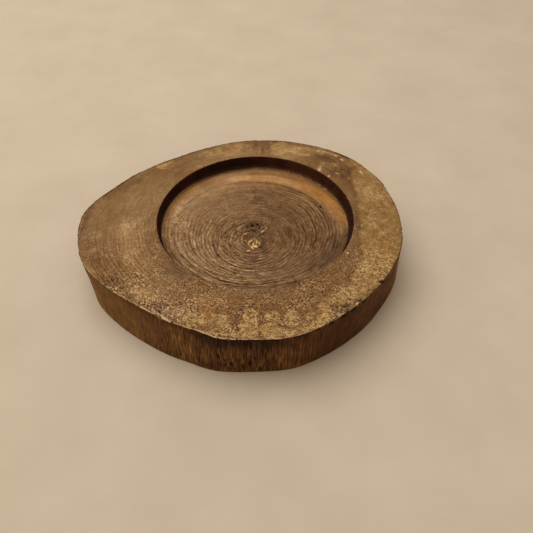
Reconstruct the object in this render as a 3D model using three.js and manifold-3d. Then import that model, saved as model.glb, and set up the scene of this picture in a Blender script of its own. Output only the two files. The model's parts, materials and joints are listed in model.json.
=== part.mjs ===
// A saucer for a small cup: one slice cut straight across a trunk, with the bark trimmed away in
// soft flats and a round, flat-bottomed recess turned into its top. It is one piece of wood.
// Millimetres, +Z up. The origin lies on the underside, on the axis of the recess. The slice is
// longest along X, with its blunt point at -X, and its trimmed front flat faces -Y.

import * as THREE from "three";
import { mergeVertices } from "three/addons/utils/BufferGeometryUtils.js";
import Module from "manifold-3d";

const wasm = await Module();
wasm.setup();

// The recess that holds the cup's foot
const recessDiameter = 70;
const recessDepth = 4.2;
const recessWallLean = 0.6; // the wall stands this much further in at its foot than at its top
const recessCoveRadius = 0.6; // round between the wall and the floor
const recessMouthWear = 0.3; // worn corner round the mouth
const recessCutOverrun = 1; // how far above the top the turned cut starts, so that it leaves no skin

// Wood left round and under the recess
const rimToRight = 16.7;
const rimToBack = 11.4;
const rimToLeft = 26.7;
const rimToFront = 19.3;
const floorThickness = 13.8;

// The trimmed side
const edgeWear = 0.6; // the rounding of the top and bottom edges
const footFlare = 1.0; // how far the foot stands out where the last cut ran off at a slant
const footFlareHeading = -124; // degrees, counter-clockwise from +X
const footFlareSpread = 28; // degrees to either side

// The outline left by the trimming, counter-clockwise from the middle of the right side, about the
// recess's axis. It gives the form; the rims above set how far it reaches each way.
const trimmedOutline = [
  [51.7, -3],
  [51.2, 6],
  [49.4, 14.5],
  [47.5, 20.3],
  [44.3, 25],
  [41, 30],
  [36.5, 34.2],
  [27, 40.2],
  [14, 45.2],
  [3, 46.4],
  [-9, 45],
  [-26, 37.3],
  [-41.5, 27.5],
  [-50.5, 18.5],
  [-58, 8],
  [-61.7, 0],
  [-61.6, -8],
  [-59, -18.5],
  [-55.2, -26],
  [-50.5, -31.2],
  [-43.5, -36.9],
  [-34.7, -42.6],
  [-24.8, -48.3],
  [-15.8, -51.7],
  [-9.5, -54.2],
  [7, -54.3],
  [14, -52.9],
  [23.8, -47.7],
  [33, -40.7],
  [40.2, -33],
  [46.5, -23.3],
  [50.4, -13.5],
];

// How finely the round shapes are cut into facets
const outlineSteps = 180;
const recessSteps = 120;
const coveSteps = 4;
const wearSteps = 2;

const thickness = floorThickness + recessDepth;
const recessRadius = recessDiameter / 2;

const weatheredWood = new THREE.MeshStandardMaterial({
  name: "weathered_wood",
  color: 0x8a6a48,
  roughness: 0.82,
  metalness: 0,
});

// A closed geometry becomes a solid once its shared corners are merged and no facet is a line.
function solidFrom(geometry) {
  geometry.deleteAttribute("normal");
  geometry.deleteAttribute("uv");
  const merged = mergeVertices(geometry);
  const corners = merged.index.array;
  const facets = [];
  for (let i = 0; i < corners.length; i += 3) {
    const [a, b, c] = corners.slice(i, i + 3);
    if (a !== b && b !== c && c !== a) {
      facets.push(a, b, c);
    }
  }
  return new wasm.Manifold(new wasm.Mesh({
    numProp: 3,
    vertProperties: new Float32Array(merged.attributes.position.array),
    triVerts: new Uint32Array(facets),
  }));
}

function geometryFrom(solid) {
  const mesh = solid.getMesh();
  const geometry = new THREE.BufferGeometry();
  geometry.setAttribute("position", new THREE.BufferAttribute(mesh.vertProperties, 3));
  geometry.setIndex(new THREE.BufferAttribute(mesh.triVerts, 1));
  geometry.computeVertexNormals();
  return geometry;
}

// The outline, stretched on each side so that it leaves the rim asked for there.
function sliceOutline() {
  const xs = trimmedOutline.map(([x]) => x);
  const ys = trimmedOutline.map(([, y]) => y);
  const stretchRight = (recessRadius + rimToRight) / Math.max(...xs);
  const stretchLeft = (recessRadius + rimToLeft) / -Math.min(...xs);
  const stretchBack = (recessRadius + rimToBack) / Math.max(...ys);
  const stretchFront = (recessRadius + rimToFront) / -Math.min(...ys);
  const corners = trimmedOutline.map(([x, y]) => new THREE.Vector3(
    x * (x > 0 ? stretchRight : stretchLeft),
    y * (y > 0 ? stretchBack : stretchFront),
    0,
  ));
  const curve = new THREE.CatmullRomCurve3(corners, true, "centripetal");
  const points = curve.getSpacedPoints(outlineSteps).slice(0, outlineSteps);
  return new THREE.Shape(points.map(({ x, y }) => new THREE.Vector2(x, y)));
}

// The foot leans out of the straight side in one place: fully at the underside, not at all on top.
function leanFootOut(geometry) {
  const position = geometry.attributes.position;
  for (let i = 0; i < position.count; i += 1) {
    const x = position.getX(i);
    const y = position.getY(i);
    const heading = THREE.MathUtils.radToDeg(Math.atan2(y, x));
    const offCentre = THREE.MathUtils.clamp((heading - footFlareHeading) / footFlareSpread, -1, 1);
    const across = Math.cos(offCentre * Math.PI / 2) ** 2;
    const down = 1 - position.getZ(i) / thickness;
    const reach = Math.hypot(x, y);
    const stretch = 1 + footFlare * across * down / reach;
    position.setXY(i, x * stretch, y * stretch);
  }
}

function sliceBlank() {
  const geometry = new THREE.ExtrudeGeometry(sliceOutline(), {
    depth: thickness - 2 * edgeWear,
    bevelEnabled: true,
    bevelThickness: edgeWear,
    bevelSize: edgeWear,
    bevelOffset: -edgeWear,
    bevelSegments: wearSteps,
  });
  geometry.translate(0, 0, edgeWear);
  leanFootOut(geometry);
  return solidFrom(geometry);
}

// What turning takes away: the recess, from its floor up past the top of the slice.
function recessCut() {
  const wallFootRadius = recessRadius - recessWallLean;
  const coveCentreRadius = wallFootRadius - recessCoveRadius;
  const coveCentreHeight = floorThickness + recessCoveRadius;
  const profile = [new THREE.Vector2(0, floorThickness)];
  for (let step = 0; step <= coveSteps; step += 1) {
    const turn = (step / coveSteps - 1) * Math.PI / 2;
    profile.push(new THREE.Vector2(
      coveCentreRadius + recessCoveRadius * Math.cos(turn),
      coveCentreHeight + recessCoveRadius * Math.sin(turn),
    ));
  }
  profile.push(
    new THREE.Vector2(recessRadius, thickness - recessMouthWear),
    new THREE.Vector2(recessRadius + recessMouthWear, thickness),
    new THREE.Vector2(recessRadius + recessMouthWear, thickness + recessCutOverrun),
    new THREE.Vector2(0, thickness + recessCutOverrun),
  );
  const geometry = new THREE.LatheGeometry(profile, recessSteps);
  geometry.rotateX(Math.PI / 2);
  return solidFrom(geometry);
}

function makeSaucer() {
  const solid = sliceBlank().subtract(recessCut());
  const mesh = new THREE.Mesh(geometryFrom(solid), weatheredWood);
  mesh.name = "saucer";
  return mesh;
}

const slicedWoodSaucer = new THREE.Group();
slicedWoodSaucer.name = "sliced_wood_saucer";
slicedWoodSaucer.add(makeSaucer());

export default slicedWoodSaucer;
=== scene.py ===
import json
import math

import bpy
import numpy as np
from mathutils import Matrix, Vector, noise
from mathutils.bvhtree import BVHTree


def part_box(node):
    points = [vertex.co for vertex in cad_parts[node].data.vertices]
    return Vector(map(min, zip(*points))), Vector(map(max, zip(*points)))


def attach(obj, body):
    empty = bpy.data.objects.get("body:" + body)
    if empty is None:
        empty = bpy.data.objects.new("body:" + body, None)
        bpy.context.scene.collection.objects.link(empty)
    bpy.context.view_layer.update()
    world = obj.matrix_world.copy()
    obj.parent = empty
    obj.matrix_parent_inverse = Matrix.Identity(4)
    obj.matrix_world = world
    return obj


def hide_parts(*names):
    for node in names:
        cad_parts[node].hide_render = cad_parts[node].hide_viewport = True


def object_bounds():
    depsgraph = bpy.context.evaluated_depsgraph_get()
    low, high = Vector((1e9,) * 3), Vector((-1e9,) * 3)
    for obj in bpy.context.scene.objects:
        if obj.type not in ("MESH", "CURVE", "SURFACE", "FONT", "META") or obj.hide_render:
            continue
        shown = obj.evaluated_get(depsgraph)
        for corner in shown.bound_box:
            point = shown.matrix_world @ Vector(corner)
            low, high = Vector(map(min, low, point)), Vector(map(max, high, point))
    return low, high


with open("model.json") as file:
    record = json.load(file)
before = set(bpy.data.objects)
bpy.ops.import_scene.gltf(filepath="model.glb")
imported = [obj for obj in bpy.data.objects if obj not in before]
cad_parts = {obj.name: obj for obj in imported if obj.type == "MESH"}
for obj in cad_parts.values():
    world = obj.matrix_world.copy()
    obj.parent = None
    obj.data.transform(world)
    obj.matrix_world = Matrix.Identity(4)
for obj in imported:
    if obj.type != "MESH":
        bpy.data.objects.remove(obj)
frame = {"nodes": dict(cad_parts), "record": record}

# A saucer cut as one slice of a trunk, with its bark trimmed off and a round recess turned into the top.
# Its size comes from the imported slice. Lengths are in millimetres until the mesh is made, and places
# are about the axis of the recess: +X right, +Y away from the camera, +Z up from the underside.

metres = 0.001
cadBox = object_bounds()


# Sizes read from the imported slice

packedSlice = frame["nodes"]["saucer"].data
packedSurface = BVHTree.FromPolygons(
    [corner.co for corner in packedSlice.vertices],
    [list(facet.vertices) for facet in packedSlice.polygons],
)
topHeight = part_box("saucer")[1].z / metres
cupSeat = next(mount for mount in frame["record"]["mounts"] if mount["name"] == "cup_seat")
seatHeight = cupSeat["pos_m"][2] / metres


def wallRadius(height):  # from the axis out to the recess wall
    start = Vector((0, 0, height * metres))
    return packedSurface.ray_cast(start, Vector((1, 0, 0)))[0].x / metres


def sideRadius(angle, height):  # from outside in to the trimmed side
    outwards = Vector((math.cos(angle), math.sin(angle), 0))
    start = outwards + Vector((0, 0, height * metres))
    return packedSurface.ray_cast(start, -outwards)[0].xy.length / metres


# Helpers for shapes and patterns over the wood

def smoothStep(low, high, value):
    share = np.clip((value - low) / (high - low), 0, 1)
    return share * share * (3 - 2 * share)


def hump(value, middle, spread, power=2):  # 1 at the middle, fading to 0 on both sides
    return np.exp(-np.abs((value - middle) / spread) ** power)


def humps(value, rows, start=0):  # rows of middle, spread and strength, added to the start
    return sum((strength * hump(value, middle, spread) for middle, spread, strength in rows), start)


def turnFrom(middle, heading):  # in degrees, -180 to 180
    return (heading - middle + 180) % 360 - 180


def cloud(places, size, octaves=3, shift=0):  # smooth noise, about -1 to 1, with lumps of this size
    offset = Vector((17.3, 5.1, 9.7)) * shift
    return np.array([noise.fractal(Vector(place) + offset, 1, 2, octaves) for place in places / size])


def patches(x, y, spots):  # soft ellipses: x, y, half length, half width, turn in degrees, strength
    strengths = np.zeros_like(x)
    for spotX, spotY, halfLength, halfWidth, turn, strength in spots:
        c = math.cos(math.radians(turn))
        s = math.sin(math.radians(turn))
        along = ((x - spotX) * c + (y - spotY) * s) / halfLength
        across = ((y - spotY) * c - (x - spotX) * s) / halfWidth
        strengths += strength * np.exp(-(along ** 2 + across ** 2) ** 1.5)
    return strengths


# Growth rings: their centre drifts from the pith as the trunk grew thicker on one side

growth = {
    "pith": (-0.5, -8.2),
    "laterCentre": (-0.6, -3.0),
    "driftFrom": 14,
    "driftTo": 28,
    "rounds": 12,  # enough for the drifting centre to settle
    "laterWidth": 0.08,  # later rings are this much wider than they are deep
    "softRings": {"across": 0.05, "size": 1.1, "strength": 0.3},
    "drawnEnds": 16,  # degrees over which a drawn ring fades at its ends
    "drawnBreaks": {"size": 3.2, "least": 0, "middle": 0.8, "change": 0.6, "most": 1.3},
    "faintest": 0.02,
    "bandEnds": 26,
    "wallFoot": 34.4,
    "drawn": [  # ring radius, from and to angle in degrees, width, strength: dark below 0, light above
        (3.7, 190, 350, 0.35, -0.4), (5.3, 90, 300, 0.35, -0.35), (6.3, 110, 230, 0.35, 0.35),
        (7.2, 96, 190, 0.3, -0.5), (8.0, 235, 300, 0.35, 0.5), (8.3, 100, 190, 0.35, 0.4),
        (9.3, 100, 260, 0.35, -0.5), (10.3, 118, 168, 0.35, -0.6), (11.2, 118, 165, 0.35, 0.4),
        (10.7, 190, 300, 0.35, -0.35), (12.2, 150, 220, 0.35, 0.4), (14.4, 166, 222, 0.36, -1.2),
        (14.7, 202, 256, 0.4, -1.3), (14.4, 240, 292, 0.36, -1.2), (15.1, 276, 318, 0.3, -0.6),
        (16.0, 205, 250, 0.45, 0.9), (15.4, 240, 284, 0.5, 1.1), (15.9, 276, 330, 0.45, 0.9),
        (16.5, 200, 318, 0.34, -0.8), (17.2, 250, 310, 0.34, -0.5), (17.9, 190, 242, 0.4, 0.5),
        (18.8, 190, 262, 0.3, -0.6), (19.8, 190, 260, 0.4, 0.6), (20.6, 185, 255, 0.34, -0.8),
        (21.8, 182, 256, 0.5, 0.9), (22.8, 182, 256, 0.35, -0.8), (23.7, 190, 262, 0.4, 0.5),
        (24.4, 180, 292, 0.35, -0.6), (25.3, 190, 262, 0.6, 0.8), (26.2, 192, 270, 0.3, -0.7),
        (27.2, 183, 236, 0.55, 1.1), (28.3, 200, 262, 0.34, -1.0), (26.3, 262, 300, 0.4, 0.5),
        (27.4, 262, 305, 0.3, -0.6), (28.6, 236, 302, 0.34, -0.9), (29.7, 200, 256, 0.5, 1.2),
        (30.6, 206, 256, 0.34, -0.8), (29.3, 246, 302, 0.3, 0.5), (30.0, 244, 302, 0.32, -0.8),
        (28.7, 5, 104, 0.26, -1.0), (29.3, 84, 160, 0.26, -1.0), (17.4, 330, 384, 0.26, -0.25),
        (18.7, 335, 380, 0.26, -0.2), (20.8, 322, 396, 0.26, -0.3), (21.6, 322, 396, 0.26, 0.3),
        (22.4, 324, 396, 0.26, -0.3), (23.2, 322, 398, 0.26, 0.3), (24.0, 322, 398, 0.26, -0.34),
        (24.8, 322, 398, 0.26, 0.35), (25.6, 320, 400, 0.26, -0.34), (26.4, 320, 400, 0.26, 0.35),
        (27.2, 318, 402, 0.26, -0.38), (22.9, 28, 66, 0.26, -0.3), (24.0, 28, 64, 0.26, 0.3),
        (25.2, 24, 66, 0.26, -0.35), (26.2, 24, 66, 0.26, 0.3), (27.2, 24, 72, 0.26, -0.35),
        # the dark row at 31.9 is no growth ring: it draws painted shade along the foot of the wall at the
        # front left
        (30.0, 150, 206, 0.5, 0.6), (31.9, 184, 228, 0.36, -0.8), (31.2, 165, 190, 0.4, -0.3),
    ],
    "bands": [  # middle ring, half width, from and to angle, lightness, warmth
        # the rows at 36.6 and 36.0 lie beyond the wall's foot: besides their warmth they lighten the floor
        # against the wall, painted light against its shade
        (32.2, 3.2, -10, 66, 0.34, 1.0), (31.8, 2.2, 42, 124, 0.46, 0.7), (36.6, 3.2, -4, 112, 0.1, 0.75),
        (26.4, 2.2, 20, 116, 0.08, 0.32), (28.0, 1.4, 76, 150, 0.12, 0.25), (31.0, 2.0, 124, 200, 0.1, 0.2),
        (36.0, 4.0, 104, 200, 0.06, 0.95),
    ],
    "paintedFootShadow": [  # painted shadow on the floor against the wall; rows of heading, spread, from a reach inwards of the wall: how dark
        (112, 34, 30.6, 0.7), (75, 30, 32.4, 0.25), (165, 26, 32.0, 0.12), (-15, 20, 32.6, 0.2),
    ],
}


def ringField(x, y):
    reach = np.hypot(x - growth["pith"][0], y - growth["pith"][1])
    for _ in range(growth["rounds"]):
        drift = smoothStep(growth["driftFrom"], growth["driftTo"], reach)
        fromX = x - growth["pith"][0] - drift * (growth["laterCentre"][0] - growth["pith"][0])
        fromY = y - growth["pith"][1] - drift * (growth["laterCentre"][1] - growth["pith"][1])
        fromY *= 1 + growth["laterWidth"] * drift
        reach = np.hypot(fromX, fromY)
    return reach, np.degrees(np.arctan2(fromY, fromX)) % 360


def between(fromAngle, toAngle, soft, heading):  # 1 inside the angles, fading to 0 at their ends
    half = (toAngle - fromAngle) / 2
    off = np.abs(turnFrom((fromAngle + toAngle) / 2, heading))
    return 1 - smoothStep(half - soft, half, off)


def drawnRings(ring, heading, places):
    tone = np.zeros_like(ring)
    look = growth["drawnBreaks"]
    for number, (radius, fromAngle, toAngle, width, strength) in enumerate(growth["drawn"]):
        near = hump(ring, radius, width)
        close = near > growth["faintest"]
        breaks = np.zeros_like(ring)
        breaks[close] = look["middle"] + look["change"] * cloud(places[close], look["size"], 2, 20 + number)
        ends = between(fromAngle, toAngle, growth["drawnEnds"], heading)
        tone += strength * near * np.clip(breaks, look["least"], look["most"]) * ends
    return tone


def ringBands(ring, heading):
    tone = np.zeros_like(ring)
    warmth = np.zeros_like(ring)
    for middle, halfWidth, fromAngle, toAngle, lightness, warm in growth["bands"]:
        there = hump(ring, middle, halfWidth, 3) * between(fromAngle, toAngle, growth["bandEnds"], heading)
        tone += lightness * there
        warmth += warm * there
    return tone, warmth


def paintedWallShadow(heading, reach):  # painted shadow: the soft dark gradient on the floor against the wall, where the wall's shade falls
    shade = np.zeros_like(reach)
    for middle, spread, start, strength in growth["paintedFootShadow"]:
        near = hump(turnFrom(middle, heading), 0, spread)
        shade = np.maximum(shade, strength * near * smoothStep(start, growth["wallFoot"], reach))
    return shade


# The slice's grid: rings of points from the middle of the recess floor, up the wall, over the rim,
# down the side and under to the middle of the underside

sliceGrid = {
    "spokes": 720,
    "spokesFrom": [(33, 720), (13, 360), (6, 180), (0, 90)],  # fewer points round a smaller ring
    "floorStep": 0.3,
    "wallShares": [0.007, 0.03, 0.065, 0.1, 0.145, 0.34, 0.55, 0.76, 0.9, 0.965],
    "rimRings": 38,
    "rimEdgeGap": 0.5,
    "rimEdgeRings": [1.0, 0.62, 0.3],  # the last rings of the rim, this far in from the edge
    "edgeRadius": 0.22,
    "edgeRings": 3,
    "footRadius": 0.3,
    "footRings": 3,
    "sideRings": 23,
    "undersideShares": [
        0.985, 0.95, 0.9, 0.84, 0.77, 0.7, 0.62, 0.54, 0.46, 0.38, 0.3, 0.22, 0.15, 0.08, 0.03,
    ],
    "undersideSpokesFrom": [(0.88, 720), (0.6, 360), (0.3, 180), (0, 90)],
    "outlineSmoothing": 3,
    "outlineInset": 2,  # the side is measured this far from its upper and lower edges
    "mouthInset": 0.02,
    "trims": {  # heading in degrees, spread, how far the last cuts left the wood further out there
        "top": [
            (54, 13, 0.65), (121, 11, 0.5), (141, 6, 0.3), (154, 5, 0.3), (174, 5, 0.35), (17, 6, -0.25),
        ],
        "foot": [
            (-159, 6, -0.6), (-138, 16, 0.36), (-106.5, 5, 0.8), (-82, 17, -0.45), (-42, 12, 0.2),
            (-18, 11, 0.85),
        ],
    },
}

zones = ["recessFloor", "recessWall", "rim", "side", "underside"]


def spokesFor(steps, value):
    return next(spokes for least, spokes in steps if value > least)


def smoothedRound(values, times):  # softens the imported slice's facets without letting them swell
    values = np.array(values)
    for _ in range(times):
        values = np.minimum(values, (np.roll(values, 1) + 2 * values + np.roll(values, -1)) / 4)
    return values


def trimmed(radii, cuts):
    headings = np.arange(sliceGrid["spokes"]) * 360 / sliceGrid["spokes"]
    for heading, spread, outwards in cuts:
        radii = radii + outwards * hump(turnFrom(heading, headings), 0, spread)
    return radii


def outlineOfSlice():
    angles = np.arange(sliceGrid["spokes"]) * 2 * math.pi / sliceGrid["spokes"]
    low = sliceGrid["outlineInset"]
    high = topHeight - low
    upper = np.array([sideRadius(angle, high) for angle in angles])
    lower = np.array([sideRadius(angle, low) for angle in angles])
    lean = (upper - lower) / (high - low)  # how much the side leans out as it goes up
    top = smoothedRound(upper + lean * (topHeight - high), sliceGrid["outlineSmoothing"])
    foot = smoothedRound(lower - lean * low, sliceGrid["outlineSmoothing"])
    return trimmed(top, sliceGrid["trims"]["top"]), trimmed(foot, sliceGrid["trims"]["foot"])


def ringsOfSlice(top, foot):
    rings = []  # zone, points

    def addRing(zone, radius, height, spokes=sliceGrid["spokes"]):
        step = sliceGrid["spokes"] // spokes
        radius = np.broadcast_to(radius, sliceGrid["spokes"])[::step]
        angles = np.arange(spokes) * 2 * math.pi / spokes
        points = np.column_stack([radius * np.cos(angles), radius * np.sin(angles), np.full(spokes, height)])
        rings.append((zones.index(zone), points))

    recessDepth = topHeight - seatHeight
    rises = [share * recessDepth for share in sliceGrid["wallShares"]]
    floorEdge = wallRadius(seatHeight + rises[0])
    floorRings = round(floorEdge / sliceGrid["floorStep"])
    for radius in np.linspace(0, floorEdge, floorRings + 1)[1:-1]:
        addRing("recessFloor", radius, seatHeight, spokesFor(sliceGrid["spokesFrom"], radius))
    for rise in rises:
        addRing("recessWall", wallRadius(seatHeight + rise), seatHeight + rise)
    mouth = wallRadius(topHeight - sliceGrid["mouthInset"])
    edge = sliceGrid["edgeRadius"]
    lastRing = sliceGrid["rimEdgeRings"][0] + sliceGrid["rimEdgeGap"]
    for share in np.linspace(0, 1, sliceGrid["rimRings"]):
        addRing("rim", mouth + (top - edge - lastRing - mouth) * share, topHeight)
    for inwards in sliceGrid["rimEdgeRings"] + [0]:
        addRing("rim", top - edge - inwards, topHeight)
    for turn in np.linspace(0, math.pi / 2, sliceGrid["edgeRings"] + 1)[1:]:
        zone = "rim" if turn < math.pi / 3 else "side"
        addRing(zone, top - edge + edge * math.sin(turn), topHeight - edge + edge * math.cos(turn))
    footEdge = sliceGrid["footRadius"]
    for height in np.linspace(topHeight - edge, footEdge, sliceGrid["sideRings"] + 2)[1:]:
        addRing("side", foot + (top - foot) * height / topHeight, height)
    for turn in np.linspace(0, math.pi / 2, sliceGrid["footRings"] + 1)[1:]:
        addRing("side", foot - footEdge + footEdge * math.cos(turn), footEdge - footEdge * math.sin(turn))
    for share in sliceGrid["undersideShares"]:
        spokes = spokesFor(sliceGrid["undersideSpokesFrom"], share)
        addRing("underside", (foot - footEdge) * share, 0, spokes)
    return rings


def bridge(first, second):  # faces between two rings, of which one may have twice as many points
    if len(first) > len(second):
        return [(b, a, c) for a, b, c in bridge(second, first)]
    faces = []
    for i in range(len(first)):
        after = (i + 1) % len(first)
        if len(first) == len(second):
            faces.append((first[i], second[i], second[after], first[after]))
        else:
            left, middle, right = second[2 * i], second[2 * i + 1], second[2 * after]
            faces += [(first[i], left, middle), (first[i], middle, first[after])]
            faces.append((first[after], middle, right))
    return faces


def gridOfSlice(rings):
    points = [np.array([[0, 0, seatHeight]])] + [ring for _, ring in rings] + [np.array([[0, 0, 0]])]
    zoneOf = [0] + [zone for zone, _ in rings] + [zones.index("underside")]
    ends = np.cumsum([len(ring) for ring in points])
    rows = [list(range(end - len(ring), end)) for ring, end in zip(points, ends)]
    faces = []
    faceZones = []
    for number in range(1, len(rows)):
        if number == 1:
            made = [(0, rows[1][i], rows[1][(i + 1) % len(rows[1])]) for i in range(len(rows[1]))]
        elif number == len(rows) - 1:
            last = rows[-2]
            made = [(last[i], rows[-1][0], last[(i + 1) % len(last)]) for i in range(len(last))]
        else:
            made = bridge(rows[number - 1], rows[number])
        faces += made
        faceZones += [zoneOf[number]] * len(made)
    zoneOfPoint = np.concatenate([np.full(len(ring), zone) for ring, zone in zip(points, zoneOf)])
    return np.concatenate(points), zoneOfPoint, faces, faceZones


# Stains, worn places and damage: x, y, half length, half width, turn, strength

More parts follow.
